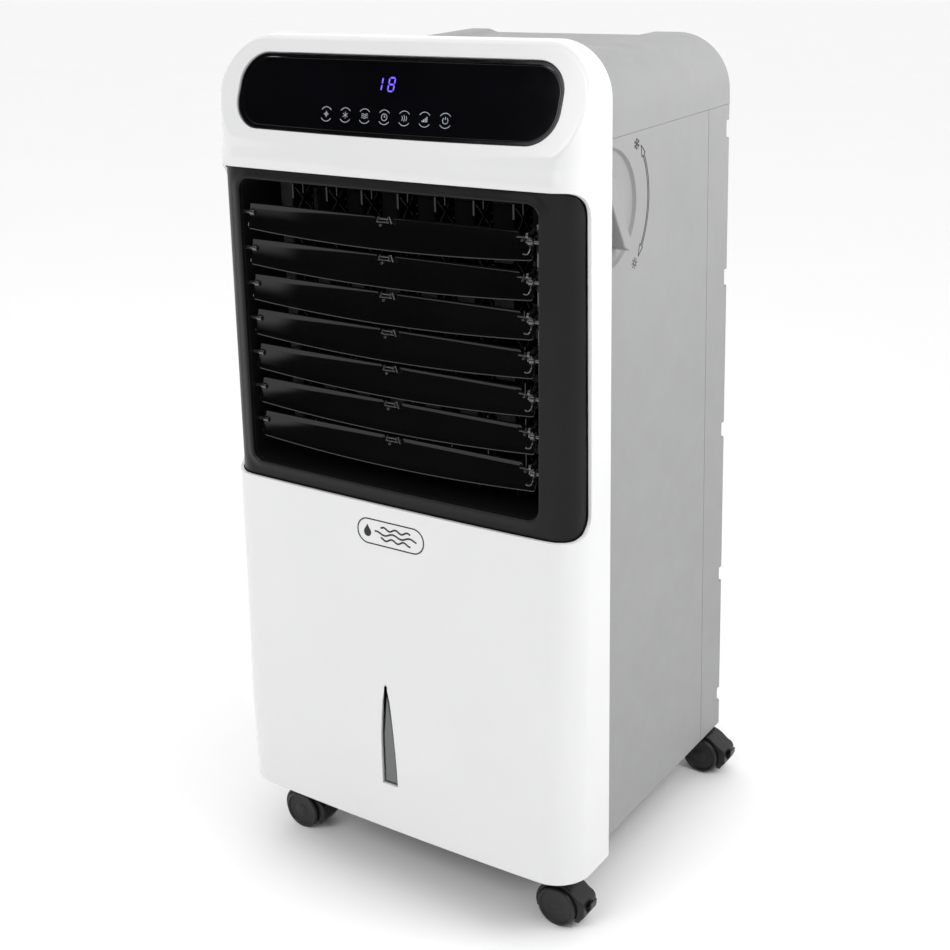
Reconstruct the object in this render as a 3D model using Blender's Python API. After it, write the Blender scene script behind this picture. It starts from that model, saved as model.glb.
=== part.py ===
"""Evaporative air cooler on four castors, with a louvred outlet, a drawer tank and a side dial.

Metres, +Z up. The front faces -Y. The origin is on the floor under the middle of the bounding box.
"""

import math

import bmesh
import bpy
from mathutils import Matrix, Vector

# Driving dimensions
FASCIA_WIDTH = 0.397
BODY_WIDTH = 0.345
FASCIA_BACK_Y = -0.1190
BODY_FRONT_Y = -0.1470
BODY_BACK_Y = 0.1880
FASCIA_BOTTOM_Z = 0.0645
FASCIA_TOP_Z = 0.836
SKIRT_Z = 0.0485
SEAM_Z = 0.7475
BODY_TOP_Z = 0.8160
WALL = 0.003
GAP = 0.0003

# Fascia: heights and the Y of its centre line, its plan corner, its bow and its top corner
FACE_STATIONS = (
    (0.0645, -0.1950),
    (0.0720, -0.1975),
    (0.1700, -0.1975),
    (0.3000, -0.1915),
    (0.4150, -0.1875),
    (0.7255, -0.1815),
    (0.7400, -0.1775),
    (0.8360, -0.1775),
)
CORNER_STATIONS = (
    (0.0645, 0.036),
    (0.4150, 0.030),
    (0.8360, 0.030),
)
FACE_BOW = 0.0026
TOP_CORNER = 0.048
SHOULDER = 0.053
RETURN_Y = -0.1240
REAR_SEAM_Y = 0.1365
REAR_LEAN = 0.0271
REAR_LEAN_Z = 0.400
LEAN_FROM_Y = 0.0410
TOP_SKIN = 0.0070
TOP_FRONT_Y = -0.1350
TOP_TAPER = 0.060
REAR_CORNER = 0.0050
TOP_RECESS = 0.0035
TOP_RECESS_X = (-0.092, 0.078)
TOP_RECESS_Y = -0.0990
PAN_FRONT_Y = -0.1770

# Control glass, louvre surround and level window, all on the fascia
GLASS_Z = 0.7880
GLASS_WIDTH = 0.3466
GLASS_HEIGHT = 0.0712
GLASS_LEAN = math.radians(21.5)
GLASS_Y = -0.1580
GLASS_SUNK = 0.0025
GLASS_THICK = 0.0030
SURROUND_BOTTOM_Z = 0.4115
SURROUND_TOP_Z = 0.7185
WRAP_Y = -0.1545
WRAP_ROUND = 0.022
SURROUND_SUNK = 0.0040
SURROUND_BACK_Y = -0.1490
OUTLET_WIDTH = 0.3270
OUTLET_X = -0.0025
OUTLET_BOTTOM_Z = 0.4275
OUTLET_TOP_Z = 0.7075
OUTLET_CORNER = 0.012
OUTLET_BACK_Y = -0.1150
WINDOW_Z = (0.1180, 0.2260)
WINDOW_WIDTH = 0.0175
WINDOW_X = -0.0030
LENS_BACK_Y = -0.1895

# Louvre blades and swing vanes
BLADES = 7
BLADE_Y = -0.1700
BLADE_TOP_Z = 0.6745
BLADE_PITCH = 0.0345
BLADE_TILT = math.radians(74)
BLADE_HALF = 0.1565
BLADE_BACK = 0.0090
BLADE_CHORD = 0.0215
BLADE_BOW = 0.0058
BLADE_BOW_POWER = 2.0
BLADE_THICK = 0.0018
CRANK_X = 0.1535
CRANK_REACH = 0.0160
CRANK_ANGLE = math.radians(45)
LEADER = 3
PIN_END = 0.1658
PIN_ROOT = 0.0070
CRANK_PIN = 0.0016
CLIP_HALF = 0.0080
CLIP_SUNK = 0.0045
HOOK_X = 0.1430
HOOK_SUNK = 0.0060
VANES = 7
VANE_Y = -0.1360
VANE_PITCH = 0.0404
VANE_HALF_CHORD = 0.0150
VANE_Z = (0.4345, 0.7005)
VANE_THICK = 0.0018
VANE_CRANK = 0.0115
PIN_RADIUS = 0.0020
PIN_BORE = 0.0026

# Mode dial and its damper
DIAL_Y = -0.0780
DIAL_Z = 0.686
DIAL_RADIUS = 0.054
DIAL_DEPTH = 0.0035
DIAL_SKIN = 0.0020
DIAL_REST = math.radians(-60)
GRIP_HALF = 0.0450
GRIP_WIDE = 0.0130
GRIP_PROUD = 0.0110
SHAFT_RADIUS = 0.0040
SHAFT_BORE = 0.0046
FLAP_HALF = 0.150
FLAP_REACH = 0.030

# Fan, heater and wet pad
FAN_Z = 0.560
FAN_RADIUS = 0.112
FAN_Y = (-0.0390, -0.0030)
FAN_BLADES = 5
FAN_PITCH = math.radians(34)
FAN_THICK = 0.0022
FAN_CHORDS = ((0.022, 0.030), (0.065, 0.044), (FAN_RADIUS, 0.050))
MOTOR_Y = (0.0050, 0.0410)
SHROUD_Y = -0.0210
HEATER_Y = (-0.1010, -0.0590)
HEATER_Z = (0.440, 0.640)
HEATER_HALF = 0.1665
HEATER_ROWS = 9
PAD_Y = (0.0910, 0.1360)
PAD_Z = (0.2933, 0.690)
PAD_HALF = 0.112
RISER_X = 0.1235
RISER_RADIUS = 0.0040
PUMP_Z = (0.0760, 0.1280)

# Tank drawer
TANK_HALF = 0.140
TANK_Y = (-0.1590, 0.1770)
TANK_Z = (0.0675, 0.2450)
DOOR_HALF = 0.1450
DOOR_TOP_Z = 0.2620
PULL_HALF = 0.045
PULL_Z = (0.2000, 0.2320)
DRAIN = (0.100, 0.090)
DRAIN_RADIUS = 0.011
GLAND = (0.120, 0.2935)
GLAND_RADIUS = 0.008
GLAND_BORE = 0.0038
FLOOR_Z = 0.0640
DIVIDER_Z = 0.2900

# Rear grille
GRILLE_HALF = 0.1420
GRILLE_Z = (0.3250, 0.7000)
GRILLE_SLOTS = 13
NOTCH_Z = (0.0857, 0.2356, 0.4043, 0.5710, 0.7229)
NOTCH_HALF = 0.009
NOTCH_REACH = 0.010
NOTCH_DEPTH = 0.006

# Castors
WHEEL_RADIUS = 0.0205
CASTOR_X = 0.1575
CASTOR_FRONT_Y = -0.1482
CASTOR_REAR_Y = 0.1760
WHEEL_HALF = 0.0175
WEB_HALF = 0.0085
AXLE_RADIUS = 0.0030
BRAKED = ("fr", "rr")
BOSS_RADIUS = 0.0098
BOSS_TOP_Z = 0.0700
CASTOR_TRAIL = 0.0080
HOOD_RADIUS = 0.0246
HOOD_REACH = 0.0285
HOOD_HALF = 0.0130
STEM_RADIUS = 0.0045

COLOURS = {
    "white_gloss": ((0.84, 0.85, 0.86), 0.20, 0.0),
    "grey_satin": ((0.52, 0.53, 0.55), 0.45, 0.0),
    "charcoal": ((0.030, 0.031, 0.033), 0.42, 0.0),
    "black_gloss": ((0.008, 0.008, 0.009), 0.12, 0.0),
    "smoke": ((0.16, 0.17, 0.18), 0.15, 0.0),
    "castor_black": ((0.020, 0.022, 0.021), 0.50, 0.0),
    "tank_grey": ((0.45, 0.47, 0.50), 0.40, 0.0),
    "fan_grey": ((0.10, 0.11, 0.12), 0.45, 0.0),
    "steel": ((0.55, 0.56, 0.58), 0.35, 1.0),
    "aluminium": ((0.75, 0.76, 0.78), 0.30, 1.0),
    "pad_brown": ((0.32, 0.22, 0.12), 0.90, 0.0),
    "board_green": ((0.02, 0.16, 0.06), 0.50, 0.0),
    "mesh_black": ((0.03, 0.03, 0.035), 0.80, 0.0),
}


# ---------------------------------------------------------------- helpers


def clear_scene():
    for obj in list(bpy.data.objects):
        bpy.data.objects.remove(obj, do_unlink=True)


def material(name):
    found = bpy.data.materials.get(name)
    if found:
        return found
    made = bpy.data.materials.new(name)
    made.use_nodes = True
    shader = made.node_tree.nodes["Principled BSDF"]
    colour, roughness, metallic = COLOURS[name]
    shader.inputs["Base Color"].default_value = (*colour, 1.0)
    shader.inputs["Roughness"].default_value = roughness
    shader.inputs["Metallic"].default_value = metallic
    return made


def arc(centre, radius, start, end, steps):
    """Points of a circular arc in the plane, both ends included, angles in degrees."""
    points = []
    for i in range(steps + 1):
        angle = math.radians(start + (end - start) * i / steps)
        points.append((centre[0] + radius * math.cos(angle), centre[1] + radius * math.sin(angle)))
    return points


def rounded_rect(a, b, radius, steps=4):
    """Counter-clockwise outline from corner a to corner b, with round corners."""
    (x0, z0), (x1, z1) = a, b
    points = arc((x1 - radius, z0 + radius), radius, -90, 0, steps)
    points += arc((x1 - radius, z1 - radius), radius, 0, 90, steps)
    points += arc((x0 + radius, z1 - radius), radius, 90, 180, steps)
    points += arc((x0 + radius, z0 + radius), radius, 180, 270, steps)
    return points


def circle(centre, radius, sides):
    return arc(centre, radius, 0, 360.0 - 360.0 / sides, sides - 1)


def place(axis, a, b, along):
    """A point whose outline coordinates a, b lie across the given axis."""
    return {
        "X": Vector((along, a, b)),
        "Y": Vector((a, along, b)),
        "Z": Vector((a, b, along)),
    }[axis]


def outward(body):
    """The body with every face looking out."""
    bmesh.ops.recalc_face_normals(body, faces=body.faces)
    if body.calc_volume(signed=True) < 0.0:
        bmesh.ops.reverse_faces(body, faces=body.faces)
    return body


def loft(rings):
    """A closed body through rings of equal length, capped at both ends."""
    body = bmesh.new()
    rows = [[body.verts.new(point) for point in ring] for ring in rings]
    count = len(rows[0])
    pairs = list(zip(rows, rows[1:]))
    body.faces.new(rows[0])
    body.faces.new(rows[-1])
    for first, second in pairs:
        for i in range(count):
            j = (i + 1) % count
            body.faces.new((first[i], first[j], second[j], second[i]))
    return outward(body)


def prism(outline, axis, start, end):
    return loft([[place(axis, a, b, along) for a, b in outline] for along in (start, end)])


def box(x, y, z):
    return prism(((x[0], z[0]), (x[1], z[0]), (x[1], z[1]), (x[0], z[1])), "Y", y[0], y[1])


def rod(axis, centre, radius, start, end, sides=16):
    return prism(circle(centre, radius, sides), axis, start, end)


def turned(profile, axis, centre, sides):
    """A body of revolution from (radius, along) stations, closed at both ends by flat caps."""
    rings = []
    for radius, along in profile:
        rings.append([place(axis, a, b, along) for a, b in circle(centre, radius, sides)])
    return loft(rings)


def moved(body, matrix):
    bmesh.ops.transform(body, matrix=matrix, verts=body.verts)
    return outward(body)


def turned_about(body, pivot, axis, angle):
    spin = Matrix.Translation(pivot) @ Matrix.Rotation(angle, 4, axis) @ Matrix.Translation(-Vector(pivot))
    return moved(body, spin)


def raw_object(name, body):
    mesh = bpy.data.meshes.new(name)
    body.to_mesh(mesh)
    body.free()
    obj = bpy.data.objects.new(name, mesh)
    bpy.context.scene.collection.objects.link(obj)
    return obj


def combine(base, others, operation):
    """The exact union with, or difference from, each of the other bodies."""
    target = raw_object("work", base)
    for other in others:
        tool = raw_object("tool", other)
        change = target.modifiers.new("combine", "BOOLEAN")
        change.operation = operation
        change.solver = "EXACT"
        change.object = tool
        bpy.context.view_layer.update()
        evaluated = target.evaluated_get(bpy.context.evaluated_depsgraph_get())
        result = bmesh.new()
        result.from_mesh(evaluated.to_mesh())
        evaluated.to_mesh_clear()
        target.modifiers.remove(change)
        result.to_mesh(target.data)
        result.free()
        bpy.data.objects.remove(tool, do_unlink=True)
    body = bmesh.new()
    body.from_mesh(target.data)
    bpy.data.objects.remove(target, do_unlink=True)
    bmesh.ops.remove_doubles(body, verts=body.verts, dist=1e-6)
    bmesh.ops.dissolve_limit(body, angle_limit=math.radians(0.1), verts=body.verts, edges=body.edges)
    return body


def cut(base, *others):
    return combine(base, others, "DIFFERENCE")


def join(base, *others):
    return combine(base, others, "UNION")


def node(name, body, finish, origin=(0.0, 0.0, 0.0), parent=None, sharp=35):
    """The finished object, its origin on the given point."""
    bmesh.ops.triangulate(body, faces=[face for face in body.faces if len(face.verts) > 4])
    bmesh.ops.translate(body, verts=body.verts, vec=-Vector(origin))
    obj = raw_object(name, body)
    obj.location = origin
    obj.data.materials.append(material(finish))
    obj.data.shade_smooth()
    obj.data.set_sharp_from_angle(angle=math.radians(sharp))
    if parent:
        obj.parent = parent
        obj.location = Vector(origin) - parent.matrix_world.translation
    bpy.context.view_layer.update()
    return obj


def between(stations, z):
    """Linear interpolation in a table of (z, value)."""
    for (z0, v0), (z1, v1) in zip(stations, stations[1:]):
        if z <= z1:
            return v0 + (v1 - v0) * max(0.0, z - z0) / (z1 - z0)
    return stations[-1][1]


def spread(start, end, steps):
    return [start + (end - start) * i / steps for i in range(steps + 1)]


# ---------------------------------------------------------------- fascia surface


def fascia_half(z, inset=0.0):
    """Half width of the fascia at a height, narrowing round its top corners."""
    over = max(0.0, z - (FASCIA_TOP_Z - TOP_CORNER))
    reach = max(0.0, (TOP_CORNER - inset) ** 2 - over**2)
    return FASCIA_WIDTH / 2 - TOP_CORNER + math.sqrt(reach)


def face_y(x, z, inset=0.0):
    """Y of the fascia's face below the head at a point of its front view, moved back by inset."""
    radius = between(CORNER_STATIONS, z) - inset
    flat = fascia_half(z, inset) - radius
    front = between(FACE_STATIONS, z) + inset
    if abs(x) <= flat:
        return front + FACE_BOW * (x / flat) ** 2
    over = min(abs(x) - flat, radius)
    return front + FACE_BOW + radius - math.sqrt(radius**2 - over**2)


def plan_section(z, inset, back, half=None):
    """One plan section: the rear left corner, the face from left to right, the rear right corner."""
    whole = fascia_half(z, inset)
    flat = whole - between(CORNER_STATIONS, z) + inset
    xs = spread(-flat, flat, 8)
    if half is None:
        turn = [(flat + (whole - flat) * math.sin(math.radians(15 * i))) for i in range(1, 7)]
        xs = [-x for x in reversed(turn)] + xs + turn
        half = whole
    else:
        xs = spread(-half, half, 10)
    front = [Vector((x, face_y(x, z, inset), z)) for x in xs]
    return [Vector((-half, back, z)), *front, Vector((half, back, z))]


def face_heights(bottom, top, inset=0.0):
    """Heights where the face bends, and steps up round its top corners."""
    heights = [z for z, _ in FACE_STATIONS if bottom < z < top]
    start = FASCIA_TOP_Z - TOP_CORNER
    steps = [start + (TOP_CORNER - inset) * math.sin(math.radians(15 * i)) for i in range(6)]
    heights += [z for z in steps if bottom < z < top]
    heights = sorted(heights)
    spaced = [z for z, after in zip(heights, heights[1:] + [top]) if after - z > 0.0012]
    return [bottom, *spaced, top]


def head_front(inset):
    """All that lies in front of the leaning head."""
    back = GLASS_Y + inset / math.cos(GLASS_LEAN)
    reach = 0.10
    lean = math.tan(GLASS_LEAN)
    outline = [(back - lean * reach, GLASS_Z - reach), (back + lean * reach, GLASS_Z + reach)]
    outline += [(2 * GLASS_Y, GLASS_Z + reach), (2 * GLASS_Y, GLASS_Z - reach)]
    return prism(outline, "X", -FASCIA_WIDTH, FASCIA_WIDTH)


def face_block(bottom, top, inset, back, half=None):
    """A solid under the fascia's face between two heights."""
    low = max(bottom, FASCIA_BOTTOM_Z)
    rings = [plan_section(z, inset, back, half) for z in face_heights(low, top, inset)]
    if bottom < low:
        rings.insert(0, [Vector((point.x, point.y, bottom)) for point in rings[0]])
    return loft(rings)


def arch(half, top, radius, bottom):
    """Front view of an upside-down U: straight sides, round top corners."""
    points = [(-half, bottom), (half, bottom)]
    points += arc((half - radius, top - radius), radius, 0, 90, 7)
    points += arc((radius - half, top - radius), radius, 90, 180, 7)
    return points


def fin_outline(grow=0.0):
    """The level window: a tall fin that is square below and comes to a point above."""
    left = WINDOW_X - WINDOW_WIDTH / 2 - grow
    right = WINDOW_X + WINDOW_WIDTH / 2 + grow
    low, high = WINDOW_Z[0] - grow, WINDOW_Z[1] + grow
    middle = low + (high - low) * 0.55
    return [
        (left, low),
        (right, low),
        (right - 0.0015, low + (high - low) * 0.35),
        (right - 0.0042, middle + 0.014),
        (WINDOW_X - 0.0015 + grow, high),
        (WINDOW_X - 0.0030 - grow, high),
        (left + 0.0022, middle + 0.022),
        (left + 0.0004, middle - 0.010),
    ]


def leaning(body):
    """A body drawn about the origin, set parallel to the leaning head."""
    lean = Matrix.Translation((0.0, GLASS_Y, GLASS_Z)) @ Matrix.Rotation(-GLASS_LEAN, 4, "X")
    return moved(body, lean)


def glass_plate(grow, front, back):
    """A round-ended plate in the head, between two depths behind its face."""
    half, high = GLASS_WIDTH / 2 + grow, GLASS_HEIGHT / 2 + grow
    outline = rounded_rect((-half, -high), (half, high), high * 0.86, 6)
    return leaning(prism(outline, "Y", front, back))


# ---------------------------------------------------------------- housing


def make_front_fascia():
    inside = FASCIA_WIDTH / 2 - WALL
    shell = cut(face_block(FASCIA_BOTTOM_Z, FASCIA_TOP_Z, 0.0, FASCIA_BACK_Y), head_front(0.0))
    front_room = face_block(FASCIA_BOTTOM_Z - 0.01, FASCIA_TOP_Z - WALL, WALL, RETURN_Y - WALL)
    front_room = cut(front_room, head_front(WALL))
    rear_outline = arch(inside, FASCIA_TOP_Z - WALL, TOP_CORNER - WALL, FASCIA_BOTTOM_Z - 0.01)
    rear_room = prism(rear_outline, "Y", RETURN_Y, FASCIA_BACK_Y + 0.01)
    body_outline = arch(BODY_WIDTH / 2 + GAP, BODY_TOP_Z + GAP, SHOULDER, FASCIA_BOTTOM_Z - 0.02)
    body_hole = prism(body_outline, "Y", RETURN_Y - 2 * WALL, RETURN_Y + WALL)
    low, high = SURROUND_BOTTOM_Z, SURROUND_TOP_Z
    side_view = [(-0.25, low)] + arc((WRAP_Y - WRAP_ROUND, low + WRAP_ROUND), WRAP_ROUND, -90, 0, 5)
    side_view += arc((WRAP_Y - WRAP_ROUND, high - WRAP_ROUND), WRAP_ROUND, 0, 90, 5) + [(-0.25, high)]
    outlet = prism(side_view, "X", -FASCIA_WIDTH, FASCIA_WIDTH)
    glass_hole = glass_plate(GAP, -0.03, 0.03)
    window_hole = prism(fin_outline(GAP), "Y", -0.25, -0.159)
    shell = cut(shell, front_room, rear_room, body_hole, outlet, glass_hole, window_hole)
    node("front_fascia", shell, "white_gloss", sharp=28)


def rear_y(z):
    """Y of the rear face, which leans forward going up."""
    return BODY_BACK_Y + REAR_LEAN * (REAR_LEAN_Z - z)


def rear_corner_cutter(side, corner):
    """What lies outside the round rear corner of one side."""
    x, y = BODY_WIDTH / 2, BODY_BACK_Y
    outline = arc((x - corner, y - corner), corner, 90, 0, 4)
    outline += [(x + 0.01, y - corner), (x + 0.01, y + 0.01), (x - corner, y + 0.01)]
    outline = [(side * a, b) for a, b in outline]
    return prism(outline, "Z", SKIRT_Z - 0.01, BODY_TOP_Z + 0.01)


def leant(body):
    """A body whose rear part follows the rear face's lean."""
    for vert in body.verts:
        if vert.co.y > LEAN_FROM_Y:
            vert.co.y += REAR_LEAN * (REAR_LEAN_Z - vert.co.z)
    return body


def outlet_bore():
    """The louvred opening, straight through the front."""
    left, right = OUTLET_X - OUTLET_WIDTH / 2, OUTLET_X + OUTLET_WIDTH / 2
    outline = rounded_rect((left, OUTLET_BOTTOM_Z), (right, OUTLET_TOP_Z), OUTLET_CORNER)
    return prism(outline, "Y", -FASCIA_WIDTH, 0.0)


def make_louvre_surround():
    low, high = SURROUND_BOTTOM_Z - 0.006, SURROUND_TOP_Z + 0.006
    tray = face_block(low, high, SURROUND_SUNK, SURROUND_BACK_Y)
    inset = SURROUND_SUNK + WALL
    room = face_block(low + WALL, high - WALL, inset, SURROUND_BACK_Y + 0.02)
    node("louvre_surround", cut(tray, room, outlet_bore()), "charcoal", sharp=28)


def make_outlet_tunnel():
    half, low, high = OUTLET_WIDTH / 2, OUTLET_BOTTOM_Z, OUTLET_TOP_Z
    front = SURROUND_SUNK + WALL + GAP
    tube = face_block(low - WALL, high + WALL, front, OUTLET_BACK_Y, half + WALL - OUTLET_X)
    right = OUTLET_X + half + WALL
    beyond = box((right, FASCIA_WIDTH), (-FASCIA_WIDTH, 0.0), (low - 2 * WALL, high + 2 * WALL))
    bores = []
    for i in range(BLADES):
        z = BLADE_TOP_Z - i * BLADE_PITCH
        bores.append(rod("X", (BLADE_Y, z), PIN_BORE, -half - 0.01, half + 0.01, 8))
    for x in vane_places():
        bores.append(rod("Z", (x, VANE_Y), PIN_BORE, low - 0.01, high + 0.01, 8))
    node("outlet_tunnel", cut(tube, beyond, outlet_bore(), *bores), "charcoal", sharp=28)


def make_control_glass():
    glass = glass_plate(-GAP, GLASS_SUNK, GLASS_SUNK + GLASS_THICK)
    node("control_glass", glass, "black_gloss")


def make_control_board():
    front = GLASS_SUNK + GLASS_THICK + GAP
    board = box((-0.100, 0.100), (front, front + 0.0016), (-0.025, 0.022))
    node("control_board", leaning(board), "board_green")


def make_level_window():
    lens = prism(fin_outline(-GAP), "Y", face_y(0, WINDOW_Z[0]) + 0.0006, LENS_BACK_Y)
    flange = prism(fin_outline(0.0035), "Y", LENS_BACK_Y - 0.0015, LENS_BACK_Y + 0.0015)
    node("level_window", join(lens, flange), "smoke")


def make_side_panel(side):
    outer, inner = BODY_WIDTH / 2, BODY_WIDTH / 2 - WALL
    depth = (BODY_FRONT_Y, REAR_SEAM_Y - GAP)
    panel = box(sorted((side * inner, side * outer)), depth, (SKIRT_Z, SEAM_Z - GAP))
    if side > 0:
        floor = outer - DIAL_DEPTH
        cup = rod("X", (DIAL_Y, DIAL_Z), DIAL_RADIUS + DIAL_SKIN, floor - DIAL_SKIN, outer - 0.001, 40)
        recess = rod("X", (DIAL_Y, DIAL_Z), DIAL_RADIUS, floor, outer + 0.01, 40)
        bore = rod("X", (DIAL_Y, DIAL_Z), SHAFT_BORE, floor - 0.02, outer, 12)
        panel = cut(join(panel, cup), recess, bore)
    name = "side_panel_right" if side > 0 else "side_panel_left"
    node(name, leant(panel), "grey_satin")


def make_top_cover():
    half, radius = BODY_WIDTH / 2, SHOULDER
    shell = prism(arch(half, BODY_TOP_Z, radius, SEAM_Z), "Y", TOP_FRONT_Y, BODY_BACK_Y)
    inner_outline = arch(half - WALL, BODY_TOP_Z - TOP_SKIN, radius - WALL, SEAM_Z - 0.02)
    room = prism(inner_outline, "Y", TOP_FRONT_Y - 0.02, BODY_BACK_Y - WALL)
    low, high = BODY_TOP_Z - TOP_RECESS, BODY_TOP_Z + 0.01
    left, right = TOP_RECESS_X
    trough = ((left, low), (right, low), (right + 0.012, high), (left - 0.045, high))
    recess = prism(trough, "Y", TOP_RECESS_Y, BODY_BACK_Y + 0.02)
    corners = [rear_corner_cutter(side, REAR_CORNER) for side in (-1, 1)]
    cover = leant(cut(shell, room, recess, *corners))
    for vert in cover.verts:
        if vert.co.y > LEAN_FROM_Y:
            vert.co.y -= TOP_TAPER * max(0.0, vert.co.z - SEAM_Z)
    node("top_cover", cover, "grey_satin")


def make_rear_housing():
    half, inner = BODY_WIDTH / 2, BODY_WIDTH / 2 - WALL
    corner = REAR_CORNER
    plan = [(-half, REAR_SEAM_Y), (-inner, REAR_SEAM_Y), (-inner, BODY_BACK_Y - WALL)]
    plan += [(inner, BODY_BACK_Y - WALL), (inner, REAR_SEAM_Y), (half, REAR_SEAM_Y)]
    plan += arc((half - corner, BODY_BACK_Y - corner), corner, 0, 90, 4)
    plan += arc((corner - half, BODY_BACK_Y - corner), corner, 90, 180, 4)
    shell = prism(plan, "Z", SKIRT_Z, SEAM_Z - GAP)
    blocks, cuts = [], []
    for z in NOTCH_Z:
        for side in (-1, 1):
            x = sorted((side * (half - NOTCH_REACH - WALL), side * (inner + 0.001)))
            y = (BODY_BACK_Y - NOTCH_REACH - WALL, BODY_BACK_Y - WALL + 0.001)
            blocks.append(box(x, y, (z - NOTCH_HALF - WALL, z + NOTCH_HALF + WALL)))
            x = sorted((side * (half - NOTCH_DEPTH), side * (half + 0.01)))
            cuts.append(box(x, (BODY_BACK_Y - NOTCH_REACH, BODY_BACK_Y + 0.01), (z - NOTCH_HALF, z + NOTCH_HALF)))
    rear = (BODY_BACK_Y - 0.010, BODY_BACK_Y + 0.010)
    grille = (GRILLE_HALF + GAP, GRILLE_Z[0] - GAP, GRILLE_Z[1] + GAP)
    cuts.append(box((-grille[0], grille[0]), rear, grille[1:]))
    cuts.append(box((-DOOR_HALF - GAP, DOOR_HALF + GAP), rear, (TANK_Z[0] - GAP, DOOR_TOP_Z + GAP)))
    cuts.append(rod("Y", GLAND, GLAND_RADIUS + GAP, *rear))
    node("rear_housing", leant(cut(join(shell, *blocks), *cuts)), "grey_satin")


def make_base_pan():
    half = BODY_WIDTH / 2 - WALL - GAP
    rear = rear_y(FLOOR_Z + WALL) - WALL - GAP
    pan = box((-half, half), (PAN_FRONT_Y, rear), (FLOOR_Z, FLOOR_Z + WALL))
    bosses, bores = [], []
    for x, y in castor_places().values():
        bosses.append(rod("Z", (x, y), BOSS_RADIUS, FLOOR_Z + 0.001, BOSS_TOP_Z))
        bores.append(rod("Z", (x, y), STEM_RADIUS + GAP, FLOOR_Z - 0.01, BOSS_TOP_Z + 0.01))
    node("base_pan", cut(join(pan, *bosses), *bores), "charcoal")


def make_cord_gland():
    ring = rod("Y", GLAND, GLAND_RADIUS, BODY_BACK_Y - 0.012, BODY_BACK_Y)
    bore = rod("Y", GLAND, GLAND_BORE, BODY_BACK_Y - 0.03, BODY_BACK_Y + 0.01)
    node("cord_gland", leant(cut(ring, bore)), "castor_black")


# ---------------------------------------------------------------- air path inside


def make_air_path():
    half = BODY_WIDTH / 2 - WALL - GAP
    top = SEAM_Z - 0.006
    plate = box((-half, half), (SHROUD_Y, SHROUD_Y + WALL), (DIVIDER_Z + WALL + GAP, top))
    ring = rod("Y", (0, FAN_Z), FAN_RADIUS + 0.006, SHROUD_Y - 0.012, SHROUD_Y + 0.012, 32)
    mouth = rod("Y", (0, FAN_Z), FAN_RADIUS + 0.003, SHROUD_Y - 0.05, SHROUD_Y + 0.05, 32)
    node("fan_shroud", cut(join(plate, ring), mouth), "charcoal")
    front, back = MOTOR_Y
    motor = [(0.003, FAN_Y[1] + GAP), (0.003, front), (0.030, front)]
    motor += [(0.036, front + 0.004), (0.036, back - 0.006), (0.028, back)]
    node("fan_motor", turned(motor, "Y", (0, FAN_Z), 20), "steel")
    bracket = box((-half, half), (back + GAP, back + GAP + WALL), (FAN_Z - 0.012, FAN_Z + 0.012))
    node("motor_bracket", bracket, "steel")
    divider = box((-half, half), (OUTLET_BACK_Y, PAD_Y[1] + 0.005), (DIVIDER_Z, DIVIDER_Z + WALL))
    drip = box(
        (-PAD_HALF + 0.012, PAD_HALF - 0.012),
        (PAD_Y[0] + 0.010, PAD_Y[1] - 0.010),
        (DIVIDER_Z - 0.01, DIVIDER_Z + 0.01),
    )
    middle = (PAD_Y[0] + PAD_Y[1]) / 2
    pipe_hole = rod("Z", (RISER_X, middle), RISER_RADIUS + GAP, DIVIDER_Z - 0.01, DIVIDER_Z + 0.01)
    node("divider_plate", cut(divider, drip, pipe_hole), "charcoal")
    motor_body = rod("Z", (0.060, VANE_Y + 0.004), 0.014, OUTLET_TOP_Z + WALL + GAP, OUTLET_TOP_Z + 0.013)
    node("swing_motor", motor_body, "steel")
    make_heater()
    make_wet_side()


def make_heater():
    low, high = HEATER_Z
    core = box((-HEATER_HALF, HEATER_HALF), HEATER_Y, (low, high))
    slots = []
    for i in range(HEATER_ROWS):
        z = low + (high - low) * (i + 0.5) / HEATER_ROWS
        x = (-HEATER_HALF + 0.030, HEATER_HALF - 0.030)
        slots.append(box(x, (HEATER_Y[0] - 0.01, HEATER_Y[1] + 0.01), (z - 0.006, z + 0.006)))
    node("ptc_heater", cut(core, *slots), "aluminium")


def make_wet_side():
    middle = (PAD_Y[0] + PAD_Y[1]) / 2
    node("cooling_pad", box((-PAD_HALF, PAD_HALF), PAD_Y, PAD_Z), "pad_brown")
    trough_z = (PAD_Z[1] + GAP, PAD_Z[1] + 0.018)
    trough = box((-PAD_HALF, RISER_X + 0.008), PAD_Y, trough_z)
    room = box(
        (-PAD_HALF + 0.002, RISER_X - 0.006),
        (PAD_Y[0] + 0.002, PAD_Y[1] - 0.002),
        (trough_z[0] + 0.002, trough_z[1] + 0.01),
    )
    node("water_distributor", cut(trough, room), "tank_grey")
    riser = rod("Z", (RISER_X, middle), RISER_RADIUS, PUMP_Z[1] + GAP, trough_z[0] - GAP)
    node("pump_riser", riser, "mesh_black")
    pump = box((RISER_X - 0.020, RISER_X + 0.008), (middle - 0.018, middle + 0.018), PUMP_Z)
    node("pump", pump, "castor_black")


# ---------------------------------------------------------------- louvres, vanes, damper, fan


def blade_turn():
    return -(math.pi / 2 - BLADE_TILT)


def crank_offset():
    """From a blade's pivot to its crank pin, as (y, z) at rest."""
    angle = BLADE_TILT - CRANK_ANGLE
    return CRANK_REACH * math.cos(angle), CRANK_REACH * math.sin(angle)


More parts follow.
